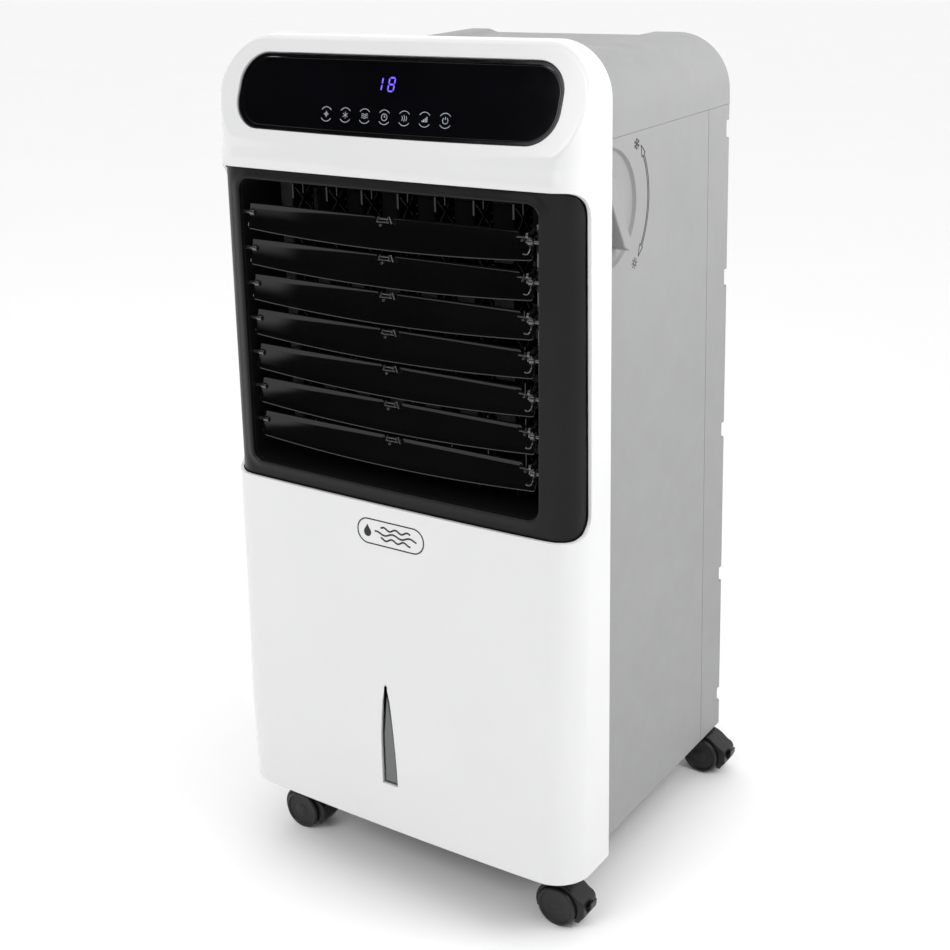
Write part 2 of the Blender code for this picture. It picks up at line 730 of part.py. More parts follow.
def make_blade(index):
    z = BLADE_TOP_Z - index * BLADE_PITCH
    edge = []
    for i in range(13):
        x = BLADE_HALF * (1 - i / 6)
        edge.append((x, -BLADE_CHORD + BLADE_BOW * abs(x / BLADE_HALF) ** BLADE_BOW_POWER))
    top = [(-BLADE_HALF, BLADE_BACK), (-CLIP_HALF - CLIP_SUNK, BLADE_BACK)]
    top += [(-CLIP_HALF, BLADE_BACK - CLIP_SUNK), (CLIP_HALF, BLADE_BACK - CLIP_SUNK)]
    top += [(CLIP_HALF + CLIP_SUNK, BLADE_BACK), (HOOK_X - HOOK_SUNK, BLADE_BACK)]
    top += [(HOOK_X, BLADE_BACK - HOOK_SUNK), (BLADE_HALF, BLADE_BACK - HOOK_SUNK)]
    plate = prism(top + edge, "Y", -BLADE_THICK / 2, BLADE_THICK / 2)
    pins = []
    for side in (-1, 1):
        reach = sorted((side * (BLADE_HALF - PIN_ROOT), side * PIN_END))
        pins.append(rod("X", (0, 0), PIN_RADIUS, *reach, 10))
    arm_y = CRANK_REACH * math.sin(CRANK_ANGLE)
    arm_z = CRANK_REACH * math.cos(CRANK_ANGLE)
    arm = [(-0.0009, -0.001), (0.0009, -0.004), (arm_y + 0.003, arm_z - 0.002)]
    arm += [(arm_y + 0.002, arm_z + 0.003), (arm_y - 0.002, arm_z + 0.002), (-0.0009, 0.003)]
    ear = prism(arm, "X", CRANK_X - 0.0060, CRANK_X - 0.0032)
    crank = rod("X", (arm_y, arm_z), CRANK_PIN, CRANK_X - 0.0040, CRANK_X + 0.0020, 8)
    blade = join(plate, *pins, ear, crank)
    blade = moved(blade, Matrix.Rotation(blade_turn(), 4, "X"))
    origin = (OUTLET_X, BLADE_Y, z)
    blade = moved(blade, Matrix.Translation(origin))
    node(f"louvre_blade_{index + 1}", blade, "black_gloss", origin)


def make_louvre_link():
    y, up = crank_offset()
    y += BLADE_Y
    low = BLADE_TOP_Z - (BLADES - 1) * BLADE_PITCH + up
    high = BLADE_TOP_Z + up
    x = OUTLET_X + CRANK_X
    bar = box((x - 0.0022, x + 0.0004), (y - 0.0032, y + 0.0032), (low - 0.005, high + 0.005))
    bores = []
    for i in range(BLADES):
        z = high - i * BLADE_PITCH
        bores.append(rod("X", (y, z), CRANK_PIN + 0.0006, x - 0.01, x + 0.01, 8))
    middle = high - LEADER * BLADE_PITCH
    node("louvre_link", cut(bar, *bores), "charcoal", (x, y, middle))


def vane_places():
    return [(i - (VANES - 1) / 2) * VANE_PITCH for i in range(VANES)]


def make_vane(index, x):
    y = (VANE_Y - VANE_HALF_CHORD, VANE_Y + VANE_HALF_CHORD)
    plate = box((x - VANE_THICK / 2, x + VANE_THICK / 2), y, VANE_Z)
    ends = (OUTLET_BOTTOM_Z - 0.0024, OUTLET_TOP_Z + 0.0024)
    pin = rod("Z", (x, VANE_Y), PIN_RADIUS, *ends, 10)
    crank = rod("Z", (x, VANE_Y + VANE_CRANK), CRANK_PIN, VANE_Z[1] - 0.004, VANE_Z[1] + 0.0045, 8)
    node(f"vane_{index + 1}", join(plate, pin, crank), "charcoal", (x, VANE_Y, 0.57))


def make_vane_link():
    xs = vane_places()
    y = VANE_Y + VANE_CRANK
    z = (VANE_Z[1] + 0.0010, VANE_Z[1] + 0.0036)
    bar = box((xs[0] - 0.005, xs[-1] + 0.005), (y - 0.0032, y + 0.0032), z)
    bores = [rod("Z", (x, y), CRANK_PIN + 0.0006, z[0] - 0.01, z[1] + 0.01, 8) for x in xs]
    node("vane_link", cut(bar, *bores), "charcoal", (xs[LEADER], y, z[0]))


def make_dial():
    face = BODY_WIDTH / 2
    floor = face - DIAL_DEPTH
    centre = (DIAL_Y, DIAL_Z)
    hub = turned([(0.028, floor + 0.0006), (0.030, floor + 0.002), (0.028, face + 0.001)], "X", centre, 32)
    half, wide = GRIP_HALF, GRIP_WIDE / 2
    outline = [(-half, -wide), (half - 0.008, -wide), (half, 0.0), (half - 0.008, wide), (-half, wide)]
    grip = prism([(DIAL_Y + a, DIAL_Z + b) for a, b in outline], "X", floor + 0.0006, face + GRIP_PROUD)
    grip = turned_about(grip, (0.0, DIAL_Y, DIAL_Z), "X", DIAL_REST)
    spigot = rod("X", centre, SHAFT_RADIUS, floor - 0.008, floor + 0.001, 12)
    node("mode_knob", join(hub, grip, spigot), "grey_satin", (face, DIAL_Y, DIAL_Z))
    shaft = rod("X", centre, SHAFT_RADIUS, -face + WALL + 0.001, floor - 0.008 - GAP, 12)
    flap = box((-FLAP_HALF, FLAP_HALF), (DIAL_Y - 0.001, DIAL_Y + 0.001), (DIAL_Z - FLAP_REACH, DIAL_Z + FLAP_REACH))
    node("damper_flap", join(shaft, flap), "charcoal", (0.0, DIAL_Y, DIAL_Z))


def make_fan_wheel():
    front, back = FAN_Y
    hub = turned([(0.020, front), (0.026, front + 0.006), (0.026, back)], "Y", (0, FAN_Z), 20)
    blades = []
    for i in range(FAN_BLADES):
        rings = []
        facing = Vector((math.cos(FAN_PITCH), -math.sin(FAN_PITCH), 0.0))
        across = Vector((math.sin(FAN_PITCH), math.cos(FAN_PITCH), 0.0)) * FAN_THICK / 2
        for radius, chord in FAN_CHORDS:
            along = facing * chord / 2
            middle = Vector((0.0, (front + back) / 2, radius))
            rings.append([middle - along - across, middle + along - across, middle + along + across])
            rings[-1].append(middle - along + across)
        spin = Matrix.Translation((0, 0, FAN_Z)) @ Matrix.Rotation(math.tau * i / FAN_BLADES, 4, "Y")
        blades.append(moved(loft(rings), spin))
    node("fan_wheel", join(hub, *blades), "fan_grey", (0.0, (front + back) / 2, FAN_Z))


# ---------------------------------------------------------------- tank and grille


def make_tank():
    wall = 0.0025
    tub = box((-TANK_HALF, TANK_HALF), TANK_Y, TANK_Z)
    door = box((-DOOR_HALF, DOOR_HALF), (TANK_Y[1] - 0.001, BODY_BACK_Y), (TANK_Z[0], DOOR_TOP_Z))
    room = box(
        (-TANK_HALF + wall, TANK_HALF - wall),
        (TANK_Y[0] + wall, TANK_Y[1] - wall),
        (TANK_Z[0] + wall, DOOR_TOP_Z + 0.02),
    )
    low, high = PULL_Z
    recess = box((-PULL_HALF, PULL_HALF), (BODY_BACK_Y - 0.0045, BODY_BACK_Y + 0.01), (low, high))
    hinge = rod("X", (BODY_BACK_Y - 0.0022, low + 0.003), 0.0016, -PULL_HALF - 0.002, PULL_HALF + 0.002, 8)
    plug_hole = rod("Y", DRAIN, DRAIN_RADIUS + GAP, BODY_BACK_Y - 0.0045, BODY_BACK_Y + 0.01, 20)
    node("water_tank", leant(cut(join(tub, door), room, recess, hinge, plug_hole)), "tank_grey")
    plug = rod("Y", DRAIN, DRAIN_RADIUS, BODY_BACK_Y - 0.0042, BODY_BACK_Y, 20)
    x, z = DRAIN
    depth = (BODY_BACK_Y - 0.002, BODY_BACK_Y + 0.01)
    slot = box((x - 0.008, x + 0.008), depth, (z - 0.0015, z + 0.0015))
    node("drain_plug", leant(cut(plug, slot)), "castor_black", (DRAIN[0], rear_y(DRAIN[1]), DRAIN[1]))
    depth = (BODY_BACK_Y - 0.0035, BODY_BACK_Y - 0.0009)
    pull = box((-PULL_HALF + 0.001, PULL_HALF - 0.001), depth, (low + 0.0017, high - 0.004))
    pins = rod("X", (BODY_BACK_Y - 0.0022, low + 0.003), 0.0011, -PULL_HALF - 0.0015, PULL_HALF + 0.0015, 8)
    hinge_z = low + 0.003
    node("tank_pull", leant(join(pull, pins)), "castor_black", (0.0, rear_y(hinge_z) - 0.0022, hinge_z))


def make_rear_grille():
    panel = box((-GRILLE_HALF, GRILLE_HALF), (BODY_BACK_Y - WALL, BODY_BACK_Y), GRILLE_Z)
    slots = []
    pitch = (GRILLE_Z[1] - GRILLE_Z[0]) / (GRILLE_SLOTS + 0.5)
    for i in range(GRILLE_SLOTS):
        z = GRILLE_Z[0] + pitch * (i + 0.75)
        for x in ((-GRILLE_HALF + 0.010, -0.004), (0.004, GRILLE_HALF - 0.010)):
            slots.append(box(x, (BODY_BACK_Y - 0.01, BODY_BACK_Y + 0.01), (z - pitch * 0.28, z + pitch * 0.28)))
    node("rear_grille", leant(cut(panel, *slots)), "grey_satin")
    filter_y = (BODY_BACK_Y - WALL - 0.0055, BODY_BACK_Y - WALL - 0.0015)
    filter_z = (GRILLE_Z[0] + 0.006, GRILLE_Z[1] - 0.006)
    dust_filter = box((-GRILLE_HALF + 0.006, GRILLE_HALF - 0.006), filter_y, filter_z)
    node("dust_filter", leant(dust_filter), "mesh_black")


# ---------------------------------------------------------------- castors


def castor_places():
    return {
        "fl": (-CASTOR_X, CASTOR_FRONT_Y),
        "fr": (CASTOR_X, CASTOR_FRONT_Y),
        "rl": (-CASTOR_X, CASTOR_REAR_Y),
        "rr": (CASTOR_X, CASTOR_REAR_Y),
    }


def make_castor(corner, x, y):
    middle = x + CASTOR_TRAIL
    centre = (middle, WHEEL_RADIUS)
    heel, tip = middle + 0.0222, middle + HOOD_REACH
    profile = [(tip - 0.0060, WHEEL_RADIUS + 0.0140), (tip, WHEEL_RADIUS + 0.0070)]
    profile += [(tip, WHEEL_RADIUS - 0.0040), (heel, WHEEL_RADIUS - 0.0125)]
    profile += arc(centre, HOOD_RADIUS, 200, 48, 14)
    hood = prism(profile, "Y", y - HOOD_HALF, y + HOOD_HALF)
    neck = rod("Z", (x, y), 0.0075, WHEEL_RADIUS + 0.018, FLOOR_Z - GAP, 16)
    stem = rod("Z", (x, y), STEM_RADIUS, WHEEL_RADIUS + 0.018, BOSS_TOP_Z - 0.001, 12)
    cuts = []
    for side in (-1, 1):
        reach = sorted((y + side * WEB_HALF, y + side * 0.03))
        cuts.append(rod("Y", centre, WHEEL_RADIUS + 0.0009, *reach, 24))
    cuts.append(rod("Y", centre, AXLE_RADIUS + GAP, y - 0.02, y + 0.02, 10))
    braked = corner in BRAKED
    pedal_at = (tip - 0.0038, WHEEL_RADIUS + 0.0020)
    if braked:
        slot_z = (pedal_at[1] - 0.0044, pedal_at[1] + 0.0044)
        cuts.append(box((tip - 0.0078, tip + 0.01), (y - 0.0065, y + 0.0065), slot_z))
        cuts.append(rod("Y", pedal_at, 0.0015, y - 0.0105, y + 0.0105, 8))
    node(f"castor_hood_{corner}", cut(join(hood, neck, stem), *cuts), "castor_black", (x, y, FLOOR_Z))
    profile = [(WHEEL_RADIUS - 0.0025, -WHEEL_HALF), (WHEEL_RADIUS, -WHEEL_HALF + 0.0016)]
    profile += [(WHEEL_RADIUS, -WEB_HALF - 0.0005), (AXLE_RADIUS, -WEB_HALF - 0.0005)]
    profile += [(radius, -along) for radius, along in reversed(profile)]
    wheels = turned([(radius, y + along) for radius, along in profile], "Y", centre, 24)
    node(f"castor_wheels_{corner}", wheels, "castor_black", (middle, y, WHEEL_RADIUS))
    if braked:
        a, z = pedal_at
        outline = [(a - 0.0022, z - 0.0020), (a + 0.0055, z - 0.0024), (a + 0.0083, z + 0.0030)]
        outline += [(a + 0.0083, z + 0.0062), (a + 0.0042, z + 0.0026), (a - 0.0022, z + 0.0024)]
        pedal = prism(outline, "Y", y - 0.0058, y + 0.0058)
        pin = rod("Y", pedal_at, 0.0011, y - 0.0100, y + 0.0100, 8)
        node(f"castor_brake_{corner}", join(pedal, pin), "castor_black", (a, y, z))


def main():
    clear_scene()
    make_base_pan()
    make_front_fascia()
    make_louvre_surround()
    make_outlet_tunnel()
    make_control_glass()
    make_control_board()
    make_level_window()
    make_side_panel(-1)
    make_side_panel(1)
    make_top_cover()
    make_rear_housing()
    make_cord_gland()
    make_air_path()
    for index in range(BLADES):
        make_blade(index)
    make_louvre_link()
    for index, x in enumerate(vane_places()):
        make_vane(index, x)
    make_vane_link()
    make_dial()
    make_fan_wheel()
    make_tank()
    make_rear_grille()
    for corner, (x, y) in castor_places().items():
        make_castor(corner, x, y)


main()
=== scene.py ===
"""The looks of the evaporative air cooler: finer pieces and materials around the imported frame.

Metres, +Z up and the front facing -Y, as in the frame.
"""

import math

import bmesh
import bpy
import numpy as np
from mathutils import Matrix, Vector


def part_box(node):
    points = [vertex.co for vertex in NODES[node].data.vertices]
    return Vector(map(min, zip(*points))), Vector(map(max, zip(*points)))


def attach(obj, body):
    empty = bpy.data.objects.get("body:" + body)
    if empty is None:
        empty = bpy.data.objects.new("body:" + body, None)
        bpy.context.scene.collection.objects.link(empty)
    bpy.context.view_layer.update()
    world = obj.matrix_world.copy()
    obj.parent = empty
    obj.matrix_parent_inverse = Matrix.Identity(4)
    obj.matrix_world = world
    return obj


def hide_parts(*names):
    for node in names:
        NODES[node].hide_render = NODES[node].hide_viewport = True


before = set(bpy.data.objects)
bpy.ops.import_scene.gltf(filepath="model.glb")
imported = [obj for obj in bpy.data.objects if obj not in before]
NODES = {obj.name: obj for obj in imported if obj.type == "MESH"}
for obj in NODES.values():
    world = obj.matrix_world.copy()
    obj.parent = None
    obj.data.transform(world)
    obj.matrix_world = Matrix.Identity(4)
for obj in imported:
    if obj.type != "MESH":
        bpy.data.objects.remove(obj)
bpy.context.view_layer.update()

# The fascia's shape, as the frame has it
FASCIA_LOW, FASCIA_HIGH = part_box("front_fascia")
HALF_WIDTH = FASCIA_HIGH.x
BOTTOM_Z, TOP_Z = FASCIA_LOW.z, FASCIA_HIGH.z
FASCIA_BACK_Y = FASCIA_HIGH.y
FACE_STATIONS = (
    (0.0645, -0.1975),
    (0.1700, -0.1975),
    (0.3000, -0.1915),
    (0.4150, -0.1875),
    (0.7255, -0.1815),
    (0.7400, -0.1775),
    (0.8360, -0.1775),
)
CORNER_STATIONS = ((0.0645, 0.036), (0.4150, 0.030), (0.8360, 0.030))
FACE_BOW = 0.0026
TOP_CORNER = 0.048
BOTTOM_ROUND = 0.0035
EDGE_ROUND = 0.0042
CREASE_ROUND = 0.0016
RETURN_Y = -0.124
WALL = 0.003
GAP = 0.0003
LEAN, HEAD_FROM_Z = math.radians(21.5), 0.70
GLASS_Y, GLASS_Z = -0.1580, 0.7880
GLASS_HALF, GLASS_HIGH = 0.1733, 0.0356
GLASS_SUNK = 0.0025
GLASS_SAG = 0.0020
SURROUND_Z = (0.4115, 0.7185)
SURROUND_SUNK = 0.0040
WRAP_Y, WRAP_ROUND = -0.1545, 0.022
OUTLET_X, OUTLET_HALF = -0.0025, 0.1635
OUTLET_Z = (0.4275, 0.7075)
OUTLET_CORNER = 0.012
WINDOW_X, WINDOW_HALF = -0.0030, 0.00875
WINDOW_Z = (0.1180, 0.2260)

# Where a cutter ends, clear of the front or the rear
AHEAD, BEHIND = -0.25, -0.05

# The body
BODY_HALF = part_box("side_panel_right")[1].x
SEAM_Z = 0.7475
BODY_TOP_Z = 0.8160
SHOULDER = 0.053
TOP_FRONT_Y = -0.1350
BODY_BACK_Y, SIDE_SEAM_Y = 0.1880, 0.1362
BODY_BOTTOM_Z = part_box("base_pan")[0].z
REAR_LEAN, REAR_LEAN_Z, LEAN_FROM_Y = 0.0271, 0.400, 0.041
TOP_TAPER = 0.060
RECESS_DEPTH = 0.0035
DIAL_Y, DIAL_Z, DIAL_RADIUS = -0.0780, 0.6860, 0.054
DIAL_FLOOR, DIAL_REST = BODY_HALF - 0.0035, math.radians(-60)

# Louvres
BLADES = 7
BLADE_Y, BLADE_TOP_Z, BLADE_PITCH = -0.1700, 0.6745, 0.0345
BLADE_TILT = math.radians(74)
BLADE_HALF = 0.1565
BLADE_REAR, BLADE_TIP, BLADE_BOW = 0.0090, -0.0215, 0.0058
PIN_END = 0.1658
CRANK_X, CRANK_REACH = 0.1535, 0.0160
VANE_Y, VANE_PITCH = -0.1360, 0.0404


# ---- mesh helpers


def arc(centre, radius, start, end, steps):
    """Points of a circular arc in the plane, both ends included, angles in degrees."""
    angles = np.radians(np.linspace(start, end, steps + 1))
    return [(centre[0] + radius * math.cos(a), centre[1] + radius * math.sin(a)) for a in angles]


def rounded_rect(low, high, radius, steps=8):
    (x0, z0), (x1, z1) = low, high
    right, left = x1 - radius, x0 + radius
    bottom, top = z0 + radius, z1 - radius
    points = []
    for turn, centre in enumerate(((right, bottom), (right, top), (left, top), (left, bottom))):
        points += arc(centre, radius, 90 * turn - 90, 90 * turn, steps)
    return points


def sized_rect(centre, half, high, radius, steps=8):
    """A rounded rectangle about its centre."""
    (x, z) = centre
    return rounded_rect((x - half, z - high), (x + half, z + high), radius, steps)


def circle(centre, radius, sides):
    return arc(centre, radius, 0, 360 - 360 / sides, sides - 1)


def place(axis, a, b, along):
    """A point whose outline coordinates a, b lie across the given axis."""
    spots = {"X": (along, a, b), "Y": (a, along, b), "Z": (a, b, along)}
    return Vector(spots[axis])


def outward(body):
    bmesh.ops.recalc_face_normals(body, faces=body.faces)
    if body.calc_volume(signed=True) < 0.0:
        bmesh.ops.reverse_faces(body, faces=body.faces)
    return body


def loft(rings):
    """A closed body through rings of equal length, capped at both ends."""
    body = bmesh.new()
    rows = [[body.verts.new(point) for point in ring] for ring in rings]
    count = len(rows[0])
    body.faces.new(rows[0])
    body.faces.new(rows[-1])
    for first, second in zip(rows, rows[1:]):
        for i in range(count):
            j = (i + 1) % count
            body.faces.new((first[i], first[j], second[j], second[i]))
    return outward(body)


def inset_outline(outline, distance):
    """The outline moved inwards by a distance, corner by corner."""
    points = [Vector(point) for point in outline]
    following = points[1:] + points[:1]
    area = sum(here.x * after.y - after.x * here.y for here, after in zip(points, following))
    turn = 1.0 if area > 0 else -1.0
    shifted = []
    for before, here, after in zip(points[-1:] + points[:-1], points, following):
        first, second = (here - before).normalized(), (after - here).normalized()
        normal_a = Vector((-first.y, first.x)) * turn
        normal_b = Vector((-second.y, second.x)) * turn
        middle = (normal_a + normal_b) / max(0.35, 1.0 + normal_a.dot(normal_b))
        shifted.append(tuple(here + middle * distance))
    return shifted


def prism(outline, axis, start, end, edge=0.0, steps=3):
    """An outline pushed along an axis, with both ends' edges rounded by a radius."""
    if edge == 0.0:
        return loft([[place(axis, a, b, along) for a, b in outline] for along in (start, end)])
    rings = []
    low, high = min(start, end), max(start, end)
    for side, origin in ((1, low), (-1, high)):
        ends = []
        for i in range(steps + 1):
            turn = math.radians(90 * i / steps)
            shape = inset_outline(outline, edge * (1 - math.sin(turn)))
            along = origin + side * edge * (1 - math.cos(turn))
            ends.append([place(axis, a, b, along) for a, b in shape])
        rings += ends if side > 0 else ends[::-1]
    return loft(rings)


def box(x, y, z, edge=0.0, axis="Y"):
    a, b, along = {"X": (y, z, x), "Y": (x, z, y)}[axis]
    outline = ((a[0], b[0]), (a[1], b[0]), (a[1], b[1]), (a[0], b[1]))
    return prism(outline, axis, *along, edge)


def rod(axis, centre, radius, start, end, sides=32, edge=0.0):
    return prism(circle(centre, radius, sides), axis, start, end, edge)


def turned(profile, axis, centre, sides=64):
    """A body of revolution from (radius, along) stations, with flat caps."""
    rings = []
    for radius, along in profile:
        rings.append([place(axis, a, b, along) for a, b in circle(centre, radius, sides)])
    return loft(rings)


def headings(path):
    """Each point of a path with the way that the path runs there."""
    points = [Vector(point) for point in path]
    befores, afters = points[:1] + points[:-1], points[1:] + points[-1:]
    return [(point, after - before) for before, point, after in zip(befores, points, afters)]


def tube(path, radius):
    """A round bar along a path of points."""
    rings = []
    for point, ahead in headings(path):
        turn = ahead.to_track_quat("Z", "Y")
        rings.append([point + turn @ Vector((a, b, 0)) for a, b in circle((0, 0), radius, 10)])
    return loft(rings)


def stroke(path, width):
    """Outline of a flat line of a width along points."""
    left, right = [], []
    for point, ahead in headings(path):
        side = Vector((-ahead.y, ahead.x)).normalized() * width / 2
        left.append(point + side)
        right.append(point - side)
    return left + right[::-1]


def towards(angle, length=1.0):
    return Vector((math.cos(angle), math.sin(angle))) * length


def moved(body, matrix):
    bmesh.ops.transform(body, matrix=matrix, verts=body.verts)
    return outward(body)


def about(pivot, axis, angle):
    """A turn about an axis through a point."""
    there = Matrix.Translation(pivot)
    return there @ Matrix.Rotation(angle, 4, axis) @ there.inverted()


def raw_object(name, body):
    mesh = bpy.data.meshes.new(name)
    body.to_mesh(mesh)
    body.free()
    obj = bpy.data.objects.new(name, mesh)
    bpy.context.scene.collection.objects.link(obj)
    return obj


def combine(base, others, operation):
    target = raw_object("work", base)
    for other in others:
        tool = raw_object("tool", other)
        change = target.modifiers.new("combine", "BOOLEAN")
        change.operation = operation
        change.solver = "EXACT"
        change.object = tool
        bpy.context.view_layer.update()
        evaluated = target.evaluated_get(bpy.context.evaluated_depsgraph_get())
        result = bmesh.new()
        result.from_mesh(evaluated.to_mesh())
        evaluated.to_mesh_clear()
        target.modifiers.remove(change)
        result.to_mesh(target.data)
        result.free()
        bpy.data.objects.remove(tool, do_unlink=True)
    body = bmesh.new()
    body.from_mesh(target.data)
    bpy.data.objects.remove(target, do_unlink=True)
    bmesh.ops.remove_doubles(body, verts=body.verts, dist=1e-6)
    return body


def cut(base, *others):
    return combine(base, others, "DIFFERENCE")


def join(base, *others):
    return combine(base, others, "UNION")


def gather(*bodies):
    """Several closed bodies as one mesh, not merged."""
    whole = bmesh.new()
    for body in bodies:
        mesh = bpy.data.meshes.new("part")
        body.to_mesh(mesh)
        body.free()
        whole.from_mesh(mesh)
        bpy.data.meshes.remove(mesh)
    return whole


def shade(obj, sharp):
    obj.data.shade_smooth()
    obj.data.set_sharp_from_angle(angle=math.radians(sharp))


def flat_faces(obj, keep_sharp):
    change = obj.modifiers.new("flat faces", "WEIGHTED_NORMAL")
    change.keep_sharp = keep_sharp
    return change


def piece(name, body, finish, rides, stands_for, sharp=35, weighted=True):
    """A finished piece on a body of the frame."""
    obj = raw_object(name, body)
    obj.data.materials.append(M[finish])
    shade(obj, sharp)
    if weighted:
        flat_faces(obj, True).weight = 80
    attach(obj, rides)
    if stands_for:
        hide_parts(*stands_for)
    return obj


def dress(node, finish, edge, sharp=30):
    """A node of the frame with its finish, and its edges rounded."""
    obj = NODES[node]
    obj.data.materials.clear()
    obj.data.materials.append(M[finish])
    shade(obj, sharp)
    change = obj.modifiers.new("rounded edges", "BEVEL")
    change.width = edge
    change.segments = 3
    change.limit_method = "ANGLE"
    change.angle_limit = math.radians(sharp)
    change.miter_outer = "MITER_ARC"
    flat_faces(obj, False)


# ---- materials


def add(tree, kind, **values):
    """A new shader node with input values, each by its name with _ for a space."""
    made = tree.nodes.new(kind)
    fill(made, **values)
    return made


def fill(made, **values):
    for name, value in values.items():
        made.inputs[name.replace("_", " ")].default_value = value


def shader_of(name):
    """A new material's node tree and its principled shader."""
    made = bpy.data.materials.new(name)
    made.use_nodes = True
    tree = made.node_tree
    return made, tree, tree.nodes["Principled BSDF"]


def object_space(tree):
    return add(tree, "ShaderNodeTexCoord").outputs["Object"]


def noise(tree, scale, detail=3.0, rough=0.5, stretch=None):
    spot = object_space(tree)
    if stretch:
        mapping = add(tree, "ShaderNodeMapping", Scale=stretch)
        tree.links.new(spot, mapping.inputs["Vector"])
        spot = mapping.outputs["Vector"]
    texture = add(tree, "ShaderNodeTexNoise", Scale=scale, Detail=detail, Roughness=rough)
    tree.links.new(spot, texture.inputs["Vector"])
    return texture.outputs["Fac"]


def ranged(tree, value, spans, **looks):
    """A value brought from one span to another: (from low, from high), (to low, to high)."""
    (from_min, from_max), (to_min, to_max) = spans
    made = add(tree, "ShaderNodeMapRange", From_Min=from_min, From_Max=from_max, To_Min=to_min, To_Max=to_max)
    for name, look in looks.items():
        setattr(made, name, look)
    tree.links.new(value, made.inputs["Value"])
    return made.outputs["Result"]


def spread_to(tree, value, low, high):
    """A noise's middle values stretched from low to high."""
    return ranged(tree, value, ((0.3, 0.7), (low, high)))


def mixed(tree, factor, first, second):
    """One of two colours, or between them, by a factor from 0 to 1."""
    blend = tree.nodes.new("ShaderNodeMix")
    blend.data_type = "RGBA"
    tree.links.new(factor, blend.inputs["Factor"])
    colours = [socket for socket in blend.inputs if socket.type == "RGBA"]
    for socket, value in zip(colours, (first, second)):
        socket.default_value = (*value, 1.0)
    return [socket for socket in blend.outputs if socket.type == "RGBA"][0]


def bumped(tree, shader, height, strength, distance, edge=0.0):
    bump = add(tree, "ShaderNodeBump", Strength=strength, Distance=distance)
    tree.links.new(height, bump.inputs["Height"])
    if edge > 0.0:
        bevel = add(tree, "ShaderNodeBevel", Radius=edge)
        bevel.samples = 4
        tree.links.new(bevel.outputs["Normal"], bump.inputs["Normal"])
    tree.links.new(bump.outputs["Normal"], shader.inputs["Normal"])


def coloured(tree, shader, factor, tones, socket="Base Color"):
    tree.links.new(mixed(tree, factor, *tones), shader.inputs[socket])


def roughened(tree, shader, value, span):
    tree.links.new(spread_to(tree, value, *span), shader.inputs["Roughness"])


def moulded(name, tones, rough, grain, strength, coat=0.0, edge=0.0, specular=0.5):
    """Moulded plastic: two close tones in soft patches, uneven gloss, and a fine grain."""
    made, tree, shader = shader_of(name)
    coloured(tree, shader, spread_to(tree, noise(tree, 9.0, 4.0), 0.0, 1.0), tones)
    roughened(tree, shader, noise(tree, 38.0, 5.0, 0.6), rough)
    fill(shader, Specular_IOR_Level=specular, Coat_Weight=coat, Coat_Roughness=0.08)
    bumped(tree, shader, noise(tree, grain, 2.0), strength, 0.0004, edge)
    return made


def white_gloss():
    tones = ((0.715, 0.716, 0.718), (0.735, 0.736, 0.738))
    return moulded("white_gloss", tones, (0.16, 0.24), 900.0, 0.015, coat=0.35, edge=0.0012)


def body_grey():
    tones = ((0.285, 0.286, 0.287), (0.305, 0.306, 0.307))
    return moulded("body_grey", tones, (0.46, 0.58), 2600.0, 0.30)


def charcoal():
    tones = ((0.0055, 0.0057, 0.0060), (0.0080, 0.0082, 0.0086))
    return moulded("charcoal", tones, (0.30, 0.40), 2200.0, 0.08, edge=0.0008, specular=0.20)


def blade_black():
    tones = ((0.0022, 0.0022, 0.0024), (0.0036, 0.0036, 0.0038))
    return moulded("blade_black", tones, (0.022, 0.045), 700.0, 0.008)


def glass_black():
    tones = ((0.0016, 0.0015, 0.0022), (0.0028, 0.0026, 0.0036))
    return moulded("glass_black", tones, (0.030, 0.060), 300.0, 0.004)


def vane_rib_painted_sheen():
    # A lighter copy of the vanes' black plastic: its grey is painted sheen, standing in for the light that
    # the ribs catch.
    tones = ((0.045, 0.045, 0.047), (0.080, 0.080, 0.083))
    return moulded("vane_rib_painted_sheen", tones, (0.20, 0.30), 900.0, 0.04, specular=0.8)


def fitting_painted_sheen():
    # The blades' black plastic made several times lighter for the clips, pins, hooks and link bar: painted
    # sheen so they read as catching light. The coat and specular gloss are real.
    tones = ((0.012, 0.012, 0.013), (0.026, 0.026, 0.027))
    return moulded("fitting_painted_sheen", tones, (0.12, 0.22), 900.0, 0.04, coat=0.8, specular=0.9)


def rim_black():
    tones = ((0.0018, 0.0018, 0.0020), (0.0034, 0.0034, 0.0038))
    return moulded("rim_black", tones, (0.10, 0.18), 1500.0, 0.03)


def castor_black():
    tones = ((0.0042, 0.0046, 0.0044), (0.0070, 0.0075, 0.0072))
    return moulded("castor_black", tones, (0.30, 0.42), 1900.0, 0.12, specular=0.35)


def tyre_black():
    tones = ((0.0080, 0.0088, 0.0080), (0.0120, 0.0130, 0.0120))
    return moulded("tyre_black", tones, (0.36, 0.52), 1300.0, 0.18, specular=0.40)


def tank_grey():
    tones = ((0.34, 0.35, 0.365), (0.37, 0.38, 0.395))
    return moulded("tank_grey", tones, (0.34, 0.44), 1500.0, 0.18)


def fan_grey():
    tones = ((0.060, 0.063, 0.067), (0.085, 0.088, 0.092))
    return moulded("fan_grey", tones, (0.35, 0.48), 1500.0, 0.15)


def smoke_lens():
    tones = ((0.078, 0.080, 0.083), (0.096, 0.098, 0.101))
    return moulded("smoke_lens", tones, (0.14, 0.22), 500.0, 0.02, coat=0.6)


def lens_rim():
    tones = ((0.014, 0.014, 0.015), (0.022, 0.022, 0.023))
    return moulded("lens_rim", tones, (0.25, 0.35), 900.0, 0.03)


def print_black():
    tones = ((0.004, 0.004, 0.004), (0.009, 0.009, 0.010))
    return moulded("print_black", tones, (0.40, 0.55), 3000.0, 0.05)


